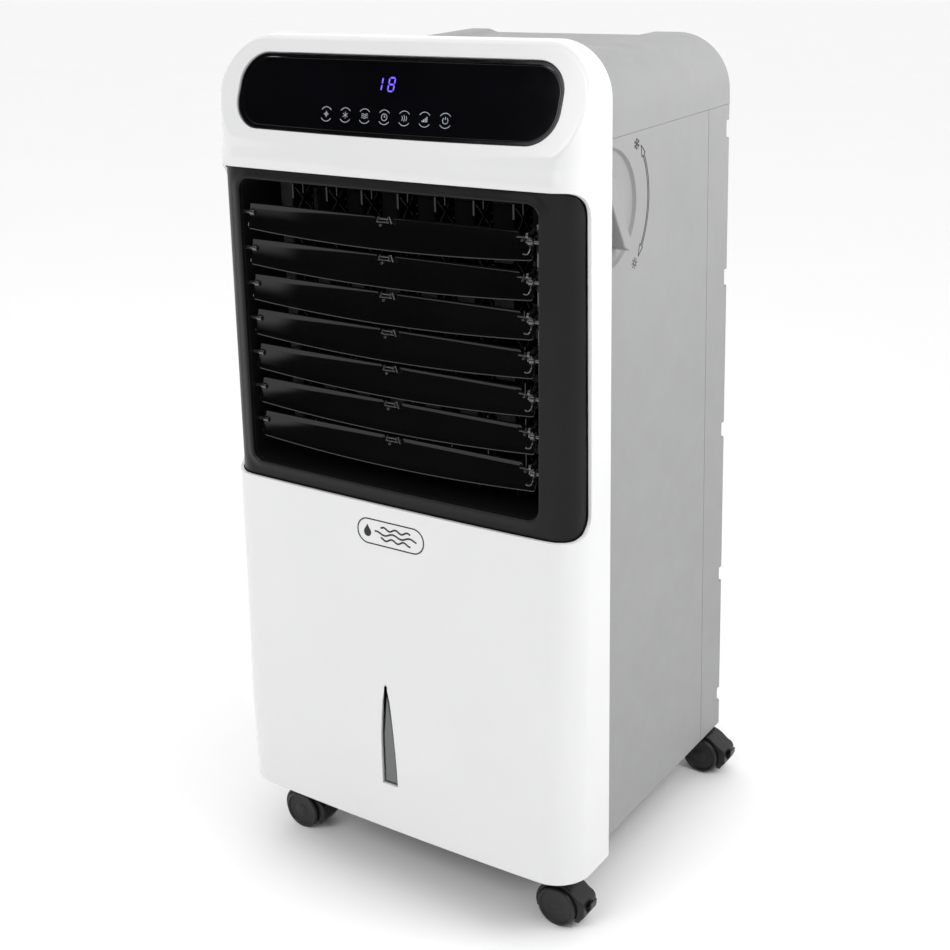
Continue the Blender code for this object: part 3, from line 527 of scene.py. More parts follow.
def icon_grey():
    """Pale print that glows a little through the glass."""
    made, tree, shader = shader_of("icon_grey")
    tones = ((0.30, 0.32, 0.36), (0.42, 0.45, 0.50))
    coloured(tree, shader, spread_to(tree, noise(tree, 160.0), 0.0, 1.0), tones)
    roughened(tree, shader, noise(tree, 400.0), (0.35, 0.5))
    fill(shader, Emission_Color=(0.55, 0.60, 0.72, 1.0), Emission_Strength=0.10)
    return made


def digit_glow():
    made, tree, shader = shader_of("digit_glow")
    fade = spread_to(tree, noise(tree, 260.0), 0.0, 1.0)
    coloured(tree, shader, fade, ((0.06, 0.03, 0.50), (0.09, 0.05, 0.65)))
    coloured(tree, shader, fade, ((0.12, 0.08, 1.0), (0.17, 0.12, 1.0)), "Emission Color")
    fill(shader, Emission_Strength=1.5)
    roughened(tree, shader, noise(tree, 300.0), (0.25, 0.4))
    return made


def metal(name, tones, rough, stretch):
    made, tree, shader = shader_of(name)
    streaks = noise(tree, 30.0, 4.0, 0.6, stretch)
    coloured(tree, shader, spread_to(tree, streaks, 0.0, 1.0), tones)
    roughened(tree, shader, streaks, rough)
    fill(shader, Metallic=1.0)
    bumped(tree, shader, streaks, 0.10, 0.0003)
    return made


def steel():
    return metal("steel", ((0.42, 0.43, 0.45), (0.56, 0.57, 0.59)), (0.28, 0.42), (1.0, 12.0, 1.0))


def heater_fins():
    """Dark coated aluminium."""
    tones = ((0.050, 0.051, 0.054), (0.085, 0.086, 0.090))
    return metal("heater_fins", tones, (0.45, 0.60), (14.0, 1.0, 1.0))


def wave_bands(tree, **values):
    wave = add(tree, "ShaderNodeTexWave", **values)
    tree.links.new(object_space(tree), wave.inputs["Vector"])
    return wave


def wet_pad():
    """Corrugated cellulose: slanting waves with fibre in them."""
    made, tree, shader = shader_of("wet_pad")
    folds = wave_bands(tree, Scale=55.0, Distortion=3.0, Detail=3.0).outputs["Fac"]
    # The same folds give the bump and the colour, so the troughs are darker. The brown tones are the pad's
    # own; the darkening in the troughs is painted shade.
    coloured(tree, shader, folds, ((0.16, 0.10, 0.05), (0.38, 0.27, 0.15)))
    roughened(tree, shader, noise(tree, 90.0), (0.8, 0.95))
    bumped(tree, shader, folds, 0.8, 0.002)
    return made


def board_green():
    tones = ((0.012, 0.10, 0.035), (0.020, 0.15, 0.055))
    return moulded("board_green", tones, (0.3, 0.5), 800.0, 0.1)


def filter_mesh():
    """Fine woven mesh: two crossed waves."""
    made, tree, shader = shader_of("filter_mesh")
    weave = tree.nodes.new("ShaderNodeMath")
    weave.operation = "MAXIMUM"
    for i, direction in enumerate(("X", "Z")):
        wave = wave_bands(tree, Scale=260.0)
        wave.bands_direction = direction
        tree.links.new(wave.outputs["Fac"], weave.inputs[i])
    height = weave.outputs["Value"]
    # The strands' grey is their own; the near-black where the weave sinks between the strands is painted
    # shade.
    coloured(tree, shader, height, ((0.004, 0.004, 0.005), (0.040, 0.041, 0.044)))
    roughened(tree, shader, noise(tree, 60.0), (0.6, 0.8))
    bumped(tree, shader, height, 0.5, 0.0006)
    return made


FINISHES = (white_gloss, body_grey, charcoal, blade_black, fitting_painted_sheen, vane_rib_painted_sheen, glass_black, rim_black)
FINISHES += (castor_black, tyre_black, tank_grey, fan_grey, smoke_lens, lens_rim, print_black, icon_grey)
FINISHES += (digit_glow, steel, heater_fins, wet_pad, board_green, filter_mesh)
M = {make.__name__: make() for make in FINISHES}


# ---- fascia skin

FINE_Z = np.linspace(BOTTOM_Z, TOP_Z, 773)
SOFT_BENDS_TO_Z, SOFT_WINDOW, CRISP_WINDOW = 0.60, 41, 9


def averaged(values, window):
    padded = np.concatenate([np.full(window, values[0]), values, np.full(window, values[-1])])
    return np.convolve(padded, np.ones(window) / window, "same")[window:-window]


def centre_profile():
    """Y of the face along its middle, its bends rounded, at each of the fine heights."""
    straight = np.interp(FINE_Z, *zip(*FACE_STATIONS))
    soft, crisp = averaged(straight, SOFT_WINDOW), averaged(straight, CRISP_WINDOW)
    return np.where(FINE_Z < SOFT_BENDS_TO_Z, soft, crisp)


PROFILE = centre_profile()


def half_at(z, inset=0.0):
    """Half width of the fascia, narrowing round its top corners."""
    over = max(0.0, z - (TOP_Z - TOP_CORNER))
    return HALF_WIDTH - TOP_CORNER + math.sqrt(max(0.0, (TOP_CORNER - inset) ** 2 - over**2))


def corner_at(z, inset=0.0):
    return np.interp(z, *zip(*CORNER_STATIONS)) - inset


def quarter(distance, radius):
    """How far a rounded edge has fallen back at a distance in from the rim."""
    reach = np.clip(radius - distance, 0.0, radius)
    return radius - np.sqrt(radius**2 - reach**2)


def rim_distance(x, z):
    """Distance in from the outline of the fascia's front view."""
    across, up = abs(x) - (HALF_WIDTH - TOP_CORNER), z - (TOP_Z - TOP_CORNER)
    if across > 0 and up > 0:
        return TOP_CORNER - math.hypot(across, up)
    return min(HALF_WIDTH - abs(x), TOP_Z - z)


def smooth_max(a, b, blend):
    share = min(1.0, max(0.0, 0.5 + 0.5 * (a - b) / blend))
    return b + (a - b) * share + blend * share * (1.0 - share)


def skin_y(x, z, inset=0.0):
    """Y of the fascia's face below the head."""
    radius = corner_at(z, inset)
    flat = half_at(z, inset) - radius
    front = float(np.interp(z, FINE_Z, PROFILE)) + inset + float(quarter(z - BOTTOM_Z, BOTTOM_ROUND))
    if abs(x) <= flat:
        return front + FACE_BOW * (x / flat) ** 2
    over = min(abs(x) - flat, radius)
    return front + FACE_BOW + radius - math.sqrt(radius**2 - over**2)


def head_y(z, depth=0.0):
    """Y of the leaning head's plane."""
    return GLASS_Y + math.tan(LEAN) * (z - GLASS_Z) + depth / math.cos(LEAN)


def front_y(x, z):
    """Y of the whole front, head and rounded rim included."""
    y = skin_y(x, z)
    if z > HEAD_FROM_Z:
        y = smooth_max(y, head_y(z), CREASE_ROUND)
        y += float(quarter(rim_distance(x, z), EDGE_ROUND))
    return min(y, FASCIA_BACK_Y - 0.002)


def front_row(z, steps=44, turns=20):
    radius = corner_at(z)
    flat = half_at(z) - radius
    bend = [flat + radius * math.sin(math.radians(90 * i / turns)) for i in range(1, turns + 1)]
    xs = [-x for x in reversed(bend)] + list(np.linspace(-flat, flat, steps + 1)) + bend
    row = [Vector((x, front_y(x, z), z)) for x in xs]
    return [Vector((xs[0], FASCIA_BACK_Y, z)), *row, Vector((xs[-1], FASCIA_BACK_Y, z))]


def levels(low, high, step):
    return set(np.round(np.arange(low, high, step), 5))


def fascia_heights():
    """Heights of the fascia's rings: close together where it bends, further apart elsewhere."""
    corner_from = TOP_Z - TOP_CORNER
    heights = levels(BOTTOM_Z, corner_from, 0.005) | levels(BOTTOM_Z, BOTTOM_Z + BOTTOM_ROUND, 0.0007)
    heights |= levels(SURROUND_Z[1] - 0.0055, corner_from, 0.0013)
    turns = np.radians(np.arange(0, 90.1, 1.6))
    heights |= {round(corner_from + TOP_CORNER * math.sin(turn), 5) for turn in turns}
    kept = [BOTTOM_Z]
    for z in sorted(heights | {TOP_Z}):
        if z - kept[-1] > 0.00009:
            kept.append(z)
    return kept


def coarse_block(bottom, top, inset, back):
    """A plain solid under the fascia's skin, for hollowing it out."""
    rings = []
    for z in sorted({bottom, top, *np.arange(bottom, top, 0.02)}):
        z_skin = max(z, BOTTOM_Z + 0.006)
        radius = corner_at(z_skin, inset)
        flat = half_at(z_skin, inset) - radius
        bend = [flat + radius * math.sin(math.radians(18 * i)) for i in range(1, 6)]
        xs = [-x for x in reversed(bend)] + list(np.linspace(-flat, flat, 9)) + bend
        row = []
        for x in xs:
            y = skin_y(x, z_skin, inset)
            if z_skin > HEAD_FROM_Z:
                y = max(y, head_y(z_skin, inset))
            row.append(Vector((x, y, z)))
        rings.append([Vector((xs[0], back, z)), *row, Vector((xs[-1], back, z))])
    return loft(rings)


def arch(half, top, radius, bottom, steps=16):
    points = [(-half, bottom), (half, bottom)]
    points += arc((half - radius, top - radius), radius, 0, 90, steps)
    points += arc((radius - half, top - radius), radius, 90, 180, steps)
    return points


def cutout_side_view():
    """The surround's cut-out seen from the side: open in front, round corners behind."""
    low, high = SURROUND_Z
    middle_y = WRAP_Y - WRAP_ROUND
    outline = [(AHEAD, low)] + arc((middle_y, low + WRAP_ROUND), WRAP_ROUND, -90, 0, 14)
    return outline + arc((middle_y, high - WRAP_ROUND), WRAP_ROUND, 0, 90, 14) + [(AHEAD, high)]


# The window's sides going up: how far up as a share of its height, and how far in
WINDOW_RIGHT = ((0.0, 0.0), (0.18, 0.0004), (0.36, 0.0014), (0.54, 0.0030), (0.70, 0.0050), (0.84, 0.0070))
WINDOW_LEFT = ((0.84, 0.0028), (0.68, 0.0016), (0.50, 0.0004))


def window_outline(grow=0.0):
    """The level window: a tall fin, square below and pointed above."""
    left, right = WINDOW_X - WINDOW_HALF - grow, WINDOW_X + WINDOW_HALF + grow
    low, high = WINDOW_Z[0] - grow, WINDOW_Z[1] + grow
    tall, neck = high - low, high - 0.004
    outline = [(left, low)] + [(right - inset, low + share * tall) for share, inset in WINDOW_RIGHT]
    outline += [(WINDOW_X - 0.0013 + grow, neck), (WINDOW_X - 0.0018 + grow * 0.6, high)]
    outline += [(WINDOW_X - 0.0028 - grow * 0.6, high), (WINDOW_X - 0.0036 - grow, neck)]
    return outline + [(left + inset, low + share * tall) for share, inset in WINDOW_LEFT]


def leaning(body):
    """A body drawn about the origin, set parallel to the leaning head."""
    return moved(body, Matrix.Translation((0.0, GLASS_Y, GLASS_Z)) @ Matrix.Rotation(-LEAN, 4, "X"))


def glass_outline(grow):
    """The touch glass: a rounded strip whose lower edge sags a little."""
    half, high = GLASS_HALF + grow, GLASS_HIGH + grow
    points = rounded_rect((-half, -high), (half, high), high * 0.82, 20)
    (start, _), (end, _) = points[-1], points[0]
    points += [(start + (end - start) * i / 24, -high) for i in range(1, 24)]
    return [(x, z - GLASS_SAG * max(0.0, -z / high) ** 2 * (1 - (x / half) ** 2)) for x, z in points]


def true_normals(obj, surface, tolerance=4e-5):
    """Set the shading normals of the faces on a known surface y(x, z) to that surface's own."""
    mesh = obj.data
    step = 2e-4
    normals = {}
    for vert in mesh.vertices:
        x, y, z = vert.co
        if abs(surface(x, z) - y) < tolerance:
            slope_x = (surface(x + step, z) - surface(x - step, z)) / (2 * step)
            slope_z = (surface(x, z + step) - surface(x, z - step)) / (2 * step)
            normals[vert.index] = Vector((slope_x, -1.0, slope_z)).normalized()
    loops = [Vector((0, 0, 0))] * len(mesh.loops)
    for face in mesh.polygons:
        found = [normals.get(i) for i in face.vertices]
        if all(n is not None and n.dot(face.normal) > 0.90 for n in found):
            for index, normal in zip(face.loop_indices, found):
                loops[index] = normal
    mesh.normals_split_custom_set([tuple(n) for n in loops])


def make_fascia():
    under, inner_top = BOTTOM_Z - 0.01, TOP_Z - WALL
    front_room = coarse_block(under, inner_top, WALL, RETURN_Y - WALL)
    rear_arch = arch(HALF_WIDTH - WALL, inner_top, TOP_CORNER - WALL, under)
    rear_room = prism(rear_arch, "Y", RETURN_Y, FASCIA_BACK_Y + 0.01)
    body_arch = arch(BODY_HALF + GAP, BODY_TOP_Z + GAP, SHOULDER, BOTTOM_Z - 0.02)
    body_hole = prism(body_arch, "Y", RETURN_Y - 2 * WALL, RETURN_Y + WALL)
    outlet = prism(cutout_side_view(), "X", -HALF_WIDTH * 2, HALF_WIDTH * 2)
    glass_hole = leaning(prism(glass_outline(GAP), "Y", -0.03, 0.03))
    window_hole = prism(window_outline(GAP), "Y", AHEAD, -0.159)
    shell = loft([front_row(z) for z in fascia_heights()])
    shell = cut(shell, front_room, rear_room, body_hole, outlet, glass_hole, window_hole)
    obj = piece("fascia_shell", shell, "white_gloss", "chassis", ["front_fascia"], 30, False)
    true_normals(obj, front_y)


# ---- louvre surround


def outside_rect(x, z):
    """Distance outside the outlet's rounded opening, negative inside it."""
    mid, tall = (OUTLET_Z[0] + OUTLET_Z[1]) / 2, (OUTLET_Z[1] - OUTLET_Z[0]) / 2
    a = abs(x - OUTLET_X) - (OUTLET_HALF - OUTLET_CORNER)
    b = abs(z - mid) - (tall - OUTLET_CORNER)
    return math.hypot(max(a, 0.0), max(b, 0.0)) + min(max(a, b), 0.0) - OUTLET_CORNER


def inside_cutout(y, z):
    """Distance inside the fascia's cut-out, seen from the side."""
    mid, tall = sum(SURROUND_Z) / 2, (SURROUND_Z[1] - SURROUND_Z[0]) / 2
    a, b = y - (WRAP_Y - WRAP_ROUND), abs(z - mid) - (tall - WRAP_ROUND)
    return WRAP_ROUND - math.hypot(max(a, 0.0), max(b, 0.0)) - min(max(a, b), 0.0)


BEAD_WIDTH, BEAD_HEIGHT, LIP_ROUND = 0.0110, 0.0019, 0.0018
SEAM_WIDTH = 0.0012


def surround_drop(x, y, z):
    """How far the surround's face lies behind its plain skin: a bead round the outlet, a seam outside."""
    drop = 0.0
    out = max(0.0, outside_rect(x, z))
    if out < BEAD_WIDTH:
        drop -= BEAD_HEIGHT * (0.5 + 0.5 * math.cos(math.pi * out / BEAD_WIDTH))
        drop += float(quarter(out, LIP_ROUND))
    near = inside_cutout(y, z)
    if near < SEAM_WIDTH:
        drop += SEAM_WIDTH * (1 - max(0.0, near / SEAM_WIDTH)) ** 2
    return drop


def surround_row(z, back):
    """The surround's face and sides at one height, from its left rear round to its right rear."""
    radius = corner_at(z, SURROUND_SUNK)
    flat = HALF_WIDTH - SURROUND_SUNK - radius
    spots = []
    for x in (*np.linspace(0.0, 0.146, 30), *np.linspace(0.1475, 0.179, 28)):
        lean_out = math.asin(min(1.0, max(0.0, x - flat) / radius))
        spots.append((x, skin_y(x, z, SURROUND_SUNK), lean_out))
    base = skin_y(flat, z, SURROUND_SUNK)
    for angle in np.linspace(spots[-1][2], math.pi / 2, 15)[1:]:
        spots.append((flat + radius * math.sin(angle), base + radius * (1 - math.cos(angle)), angle))
    for y in np.linspace(spots[-1][1], back, 9)[1:]:
        spots.append((flat + radius, y, math.pi / 2))
    halves = []
    for side in (-1, 1):
        half = []
        for x, y, angle in spots:
            drop = surround_drop(side * x, y, z)
            half.append(Vector((side * (x - math.sin(angle) * drop), y + math.cos(angle) * drop, z)))
        halves.append(half)
    left, right = halves
    return left[:0:-1] + right


def make_surround():
    low, high = SURROUND_Z[0] - 0.005, SURROUND_Z[1] + 0.005
    heights = levels(low, high, 0.004) | {round(high, 5)}
    for edge in (SURROUND_Z[0], SURROUND_Z[1] - 0.004, OUTLET_Z[0] - 0.012, OUTLET_Z[1] - 0.003):
        heights |= levels(edge, edge + 0.016, 0.0009)
    back = WRAP_Y + 0.008
    tray = loft([surround_row(z, back) for z in sorted(heights) if low <= z <= high])
    room = coarse_block(low + WALL, high - WALL, SURROUND_SUNK + WALL, back + 0.02)
    corners = ((OUTLET_X - OUTLET_HALF, OUTLET_Z[0]), (OUTLET_X + OUTLET_HALF, OUTLET_Z[1]))
    opening = prism(rounded_rect(*corners, OUTLET_CORNER, 14), "Y", AHEAD, BEHIND)
    face = cut(tray, room, opening)
    piece("surround_frame", face, "charcoal", "chassis", ["louvre_surround"], 32)


# ---- touch strip


PRINT_THICK = 0.00012


def on_glass(outline):
    """A thin print on the glass from an outline in the strip's own plane."""
    return leaning(prism(outline, "Y", GLASS_SUNK - PRINT_THICK, GLASS_SUNK))


SEGMENTS = {
    "a": ((-1, 2), (1, 2)), "b": ((1, 2), (1, 0)), "c": ((1, 0), (1, -2)), "d": ((-1, -2), (1, -2)),
    "e": ((-1, 0), (-1, -2)), "f": ((-1, 2), (-1, 0)), "g": ((-1, 0), (1, 0)),
}
SEGMENT_LONG, SEGMENT_HALF, SEGMENT_GAP, SEGMENT_POINT = 0.0030, 0.00062, 0.0005, 0.0007
DIGIT_SLANT = 0.02


def digit(centre, segments):
    """A digit of slim bars with pointed ends, each its own piece of print."""
    bars = []
    for key in segments:
        ends = [Vector(centre) + Vector((x + z * DIGIT_SLANT, z)) * SEGMENT_LONG for x, z in SEGMENTS[key]]
        along = (ends[1] - ends[0]).normalized()
        side = Vector((-along.y, along.x)) * SEGMENT_HALF
        first, second = ends[0] + along * SEGMENT_GAP, ends[1] - along * SEGMENT_GAP
        inner_first, inner_second = first + along * SEGMENT_POINT, second - along * SEGMENT_POINT
        shape = [first, inner_first + side, inner_second + side]
        bars.append(on_glass(shape + [second, inner_second - side, inner_first - side]))
    return bars


def ring_parts(centre, radius, spans):
    return [stroke(arc(centre, radius, a, b, 10), 0.0005) for a, b in spans]


def star(centre, radius, points, width=0.0004):
    lines = []
    for i in range(points):
        reach = towards(math.pi * i / points + math.pi / 2, radius)
        lines.append(stroke([Vector(centre) - reach, Vector(centre) + reach], width))
    return lines


def wave_path(centre, half, high, waves, steps, shift=0.0):
    path = []
    for i in range(steps + 1):
        share = i / steps
        rise = high * math.sin(math.tau * waves * share + shift)
        path.append((centre[0] + half * (2 * share - 1), centre[1] + rise))
    return path


def icon(kind, c):
    """One small generic symbol of the touch strip."""
    x, z = c
    if kind == "ion":
        return ring_parts(c, 0.0014, ((0, 355),)) + star(c, 0.0030, 2)
    if kind == "snow":
        return star(c, 0.0031, 3)
    if kind == "swing":
        paths = [wave_path((x, z + d), 0.0034, 0.0006, 1.5, 16) for d in (-0.0016, 0.0, 0.0016)]
        return [stroke(path, 0.0004) for path in paths]
    if kind == "clock":
        hands = stroke([(x, z + 0.0020), (x, z), (x + 0.0015, z)], 0.0005)
        return ring_parts(c, 0.0031, ((0, 355),)) + [hands]
    if kind == "heat":
        spots = ((x - 0.0022, 0.0022), (x, 0.0028), (x + 0.0022, 0.0022))
        return [stroke([(a - 0.0003, z - h), (a + 0.0005, z), (a - 0.0003, z + h)], 0.0005) for a, h in spots]
    if kind == "speed":
        bars = ((-0.0024, 0.0014), (-0.0008, 0.0024), (0.0008, 0.0034), (0.0024, 0.0046))
        return [stroke([(x + d, z - 0.0022), (x + d, z - 0.0022 + h)], 0.0009) for d, h in bars]
    stem = stroke([(x, z + 0.0034), (x, z + 0.0006)], 0.0005)
    return ring_parts(c, 0.0028, ((125, 415),)) + [stem]


SYMBOLS = ("ion", "snow", "swing", "clock", "heat", "speed", "power")
SYMBOL_X, SYMBOL_PITCH, SYMBOL_Z, SYMBOL_SLANT = -0.0670, 0.02145, -0.0186, 0.12
SYMBOL_ARCS = ((36, 144), (216, 324))


def make_glass():
    front = GLASS_SUNK - 0.0006
    bezel = prism(glass_outline(-GAP), "Y", front, front + 0.0032, 0.0008)
    bezel = leaning(cut(bezel, prism(glass_outline(-0.0034), "Y", -0.02, 0.02)))
    piece("glass_bezel", bezel, "rim_black", "chassis", ())
    plate = leaning(prism(glass_outline(-0.0037), "Y", GLASS_SUNK, GLASS_SUNK + 0.0030, 0.0011, 4))
    piece("glass_plate", plate, "glass_black", "chassis", ["control_glass"])


def make_display():
    digits = digit((-0.0142, 0.0105), "bc") + digit((-0.0010, 0.0105), "abcdefg")
    piece("display_digits", gather(*digits), "digit_glow", "chassis", ())
    prints = []
    for i, kind in enumerate(SYMBOLS):
        centre = (SYMBOL_X + i * SYMBOL_PITCH, SYMBOL_Z)
        for outline in icon(kind, centre) + ring_parts(centre, 0.0065, SYMBOL_ARCS):
            prints.append(on_glass([(a - SYMBOL_SLANT * (b - SYMBOL_Z), b) for a, b in outline]))
    piece("touch_symbols", gather(*prints), "icon_grey", "chassis", ())


# ---- level window and badge


def make_window():
    face = skin_y(WINDOW_X, WINDOW_Z[0] + 0.03)
    rim = prism(window_outline(-GAP), "Y", face + 0.0006, face + 0.0080, 0.0006)
    rim = cut(rim, prism(window_outline(-0.0016), "Y", face - 0.01, face + 0.0040))
    piece("window_rim", rim, "lens_rim", "chassis", ())
    lens = prism(window_outline(-0.0018), "Y", face + 0.0022, face + 0.0050, 0.0010)
    piece("window_lens", lens, "smoke_lens", "chassis", ["level_window"])


BADGE = (0.0035, 0.3835)
BADGE_HALF, BADGE_HIGH, BADGE_THICK, BADGE_SUNK = 0.0385, 0.0130, 0.0005, 0.0003


def laid_on_face(outline):
    """A thin badge layer that follows the fascia's bow."""
    body = prism(outline, "Y", 0.0, BADGE_THICK)
    bmesh.ops.triangulate(body, faces=[face for face in body.faces if len(face.verts) > 4])
    for vert in body.verts:
        vert.co.y += skin_y(vert.co.x, vert.co.z) - BADGE_THICK + BADGE_SUNK
    return outward(body)


def badge_border():
    sizes = [(BADGE_HALF - inset, BADGE_HIGH - inset, BADGE_HIGH * 0.96 - inset) for inset in (0.0, 0.0013)]
    outer, inner = (sized_rect(BADGE, *size, 14) for size in sizes)
    return cut(laid_on_face(outer), prism(inner, "Y", AHEAD, -0.10))


def water_drop():
    """Round below and drawn out to a point above."""
    outline = []
    for i in range(24):
        angle = math.tau * i / 24
        rise = max(0.0, math.sin(angle))
        across = 0.0042 * (1.0 - 0.5 * rise**3) * math.cos(angle)
        up = (0.0046 + 0.0030 * rise**4) * math.sin(angle)
        outline.append((BADGE[0] - 0.0265 + across, BADGE[1] - 0.0012 + up))
    return outline


def make_badge():
    """A generic badge: a drop of water and three waves of air in a rounded border."""
    layers = [badge_border()]
    for i, half in enumerate((0.017, 0.024, 0.017)):
        centre = (BADGE[0] + 0.006, BADGE[1] + 0.0052 * (1 - i))
        layers.append(laid_on_face(stroke(wave_path(centre, half, 0.0014, 2.5, 40, i), 0.0017)))
    layers.append(laid_on_face(water_drop()))
    piece("badge_print", gather(*layers), "print_black", "chassis", ())


# ---- louvre blades and link


def blade_section(tip):
    """Closed cross-section of a blade as (thickness, along) from its rear rim to its lower tip."""
    rear, thick, rim = BLADE_REAR, 0.00085, 0.00125
    start = rear - 0.0030
    bulges = [(0.0003 * math.sin(math.pi * share), share) for share in np.linspace(0.12, 0.90, 7)]
    inner = [(bulge, start + (tip + 0.0015 - start) * share) for bulge, share in bulges]
    side = [(-rim * 0.4, rear), (-rim, rear - 0.0007), (-rim, rear - 0.0018), (-thick, start)]
    side += [(bulge - thick, along) for bulge, along in inner]
    side += [(-thick * 1.2, tip + 0.0016), (-thick * 1.3, tip + 0.0008), (-thick * 0.7, tip)]
    side += [(thick * 0.7, tip), (thick * 1.2, tip + 0.0010)]
    side += [(bulge + thick, along) for bulge, along in reversed(inner)]
    return side + [(rim * 0.6, rear - 0.0018), (rim * 0.6, rear - 0.0006), (rim * 0.2, rear)]


def blade_body():
    """A blade whose lower edge is bowed, and rounded at both ends."""
    rings = []
    ends = [1.0 - 0.0256 * (1 - math.cos(math.radians(15 * i))) for i in range(7)]
    for share in (*[-end for end in ends], *np.linspace(-0.95, 0.95, 39), *ends[::-1]):
        x = BLADE_HALF * share
        tip = BLADE_TIP + BLADE_BOW * share**2 + float(quarter(BLADE_HALF - abs(x), 0.0030))
        rings.append([Vector((x, a, b)) for a, b in blade_section(tip)])
    return loft(rings)


def clip():
    """A small moulded clip in a blade's notch: a saddle, two ears with a pin, and a slanted tab."""
    rear = BLADE_REAR
    parts = [box((-0.0070, 0.0070), (-0.0028, 0.0012), (rear - 0.0062, rear - 0.0048), 0.0004)]
    for side in (-1, 1):
        ear = [(side * 0.0046, rear - 0.0056), (side * 0.0062, rear - 0.0052)]
        ear += [(side * 0.0058, rear - 0.0012), (side * 0.0046, rear - 0.0012)]
        parts.append(prism(ear, "Y", -0.0036, 0.0010, 0.0003))
    parts.append(rod("X", (-0.0020, rear - 0.0026), 0.0010, -0.0064, 0.0064, 14))
    tab = [(0.0066, rear - 0.0002), (0.0080, rear - 0.0006), (0.0112, rear - 0.0064), (0.0100, rear - 0.0068)]
    parts.append(prism(tab, "Y", -0.0042, -0.0020, 0.0004))
    parts.append(rod("Y", (-0.0030, rear - 0.0085), 0.0013, -0.0020, -0.0004, 14, 0.0004))
    return parts


def blade_pins():
    """The pin and its boss at each end of a blade."""
    parts = []
    for side in (-1, 1):
        low, high = sorted((side * (BLADE_HALF - 0.006), side * PIN_END))
        parts.append(rod("X", (0, 0), 0.0020, low, high, 20, 0.0003))
        low, high = sorted((side * (BLADE_HALF - 0.0065), side * (BLADE_HALF - 0.0010)))
        boss = [(0.0026, low), (0.0033, low + 0.0008), (0.0033, high - 0.0008), (0.0026, high)]
        parts.append(turned(boss, "X", (-0.0004, 0), 24))
    return parts


def blade_crank():
    """The arm with the crank pin that the link bar moves, at a blade's right end."""
    reach = CRANK_REACH * math.sin(math.radians(45))
    arm = [(-0.0009, -0.001), (0.0009, -0.004), (reach + 0.003, reach - 0.002)]
    arm += [(reach + 0.002, reach + 0.003), (reach - 0.002, reach + 0.002), (-0.0009, 0.003)]
    arm = prism(arm, "X", CRANK_X - 0.0060, CRANK_X - 0.0032, 0.0004)
    return [arm, rod("X", (reach, reach), 0.0016, CRANK_X - 0.0040, CRANK_X + 0.0020, 20, 0.0003)]


def end_hook():
    """The hook, bar, collar and stud in the step at a blade's right end."""
    path = [(0.1535, -0.0020, 0.0022), (0.1537, -0.0024, -0.0060), (0.1532, -0.0026, -0.0090)]
    path += [(0.1518, -0.0027, -0.0106), (0.1496, -0.0027, -0.0110), (0.1476, -0.0026, -0.0106)]
    bar = box((0.1390, 0.1530), (-0.0030, -0.0008), (BLADE_REAR - 0.0066, BLADE_REAR - 0.0052), 0.0004)
    collar = [(0.0016, 0.1478), (0.0030, 0.1484), (0.0030, 0.1506), (0.0016, 0.1512)]
    stud = rod("Y", (0.1446, 0.0006), 0.0011, -0.0030, -0.0006, 14, 0.0003)
    return [tube(path, 0.0008), bar, turned(collar, "X", (-0.0012, 0.0052), 20), stud]


def make_blade(index):
    top, notch, step = BLADE_REAR + 0.002, BLADE_REAR - 0.0045, BLADE_REAR - 0.006
    middle = [(-0.0125, top), (-0.0080, notch), (0.0080, notch), (0.0125, top)]
    end = [(0.1370, top), (0.1430, step), (0.158, step), (0.158, top)]
    blade = cut(blade_body(), prism(middle, "Y", -0.01, 0.01), prism(end, "Y", -0.01, 0.01))
    fittings = gather(*clip(), *blade_pins(), *blade_crank(), *end_hook())
    spot = Matrix.Translation((OUTLET_X, BLADE_Y, BLADE_TOP_Z - index * BLADE_PITCH))
    pose = spot @ Matrix.Rotation(BLADE_TILT - math.pi / 2, 4, "X")
    for body in (blade, fittings):
        bmesh.ops.transform(body, matrix=pose, verts=body.verts)
    rides = f"blade_{index + 1}"
    piece(f"{rides}_fine", blade, "blade_black", rides, [f"louvre_{rides}"])
    # The fittings' finish is a lighter copy of the blades' black: painted sheen.
    piece(f"{rides}_fittings", fittings, "fitting_painted_sheen", rides, ())


def link_hook(x, y, z):
    """The small spring hook under each pivot of the link bar."""
    path = [(x - 0.0016, y - 0.0014, z - 0.0040)]
    for a, b in arc((y - 0.0050, z - 0.0085), 0.0034, 100, 260, 8):
        path.append((x - 0.0020, a, b))
    return tube(path, 0.0009)


def make_link():
    x = OUTLET_X + CRANK_X
    arm = towards(BLADE_TILT - math.radians(45), CRANK_REACH)
    y, high = BLADE_Y + arm.x, BLADE_TOP_Z + arm.y
    low = high - (BLADES - 1) * BLADE_PITCH
    bar = box((x - 0.0022, x + 0.0004), (y - 0.0032, y + 0.0032), (low - 0.005, high + 0.005), 0.0005)
    boss = [(0.0036, x - 0.0024), (0.0042, x - 0.0016), (0.0042, x + 0.0008), (0.0036, x + 0.0012)]
    bores, bosses = [], []
    for i in range(BLADES):
        z = high - i * BLADE_PITCH
        bores.append(rod("X", (y, z), 0.0022, x - 0.01, x + 0.01, 20))
        bosses += [turned(boss, "X", (y, z), 28), link_hook(x, y, z)]
    link = cut(join(bar, *bosses), *bores)
    # The link bar's finish is a lighter copy of the blades' black: painted sheen.
    piece("link_bar_fine", link, "fitting_painted_sheen", "blade_link", ["louvre_link"])


# ---- vanes


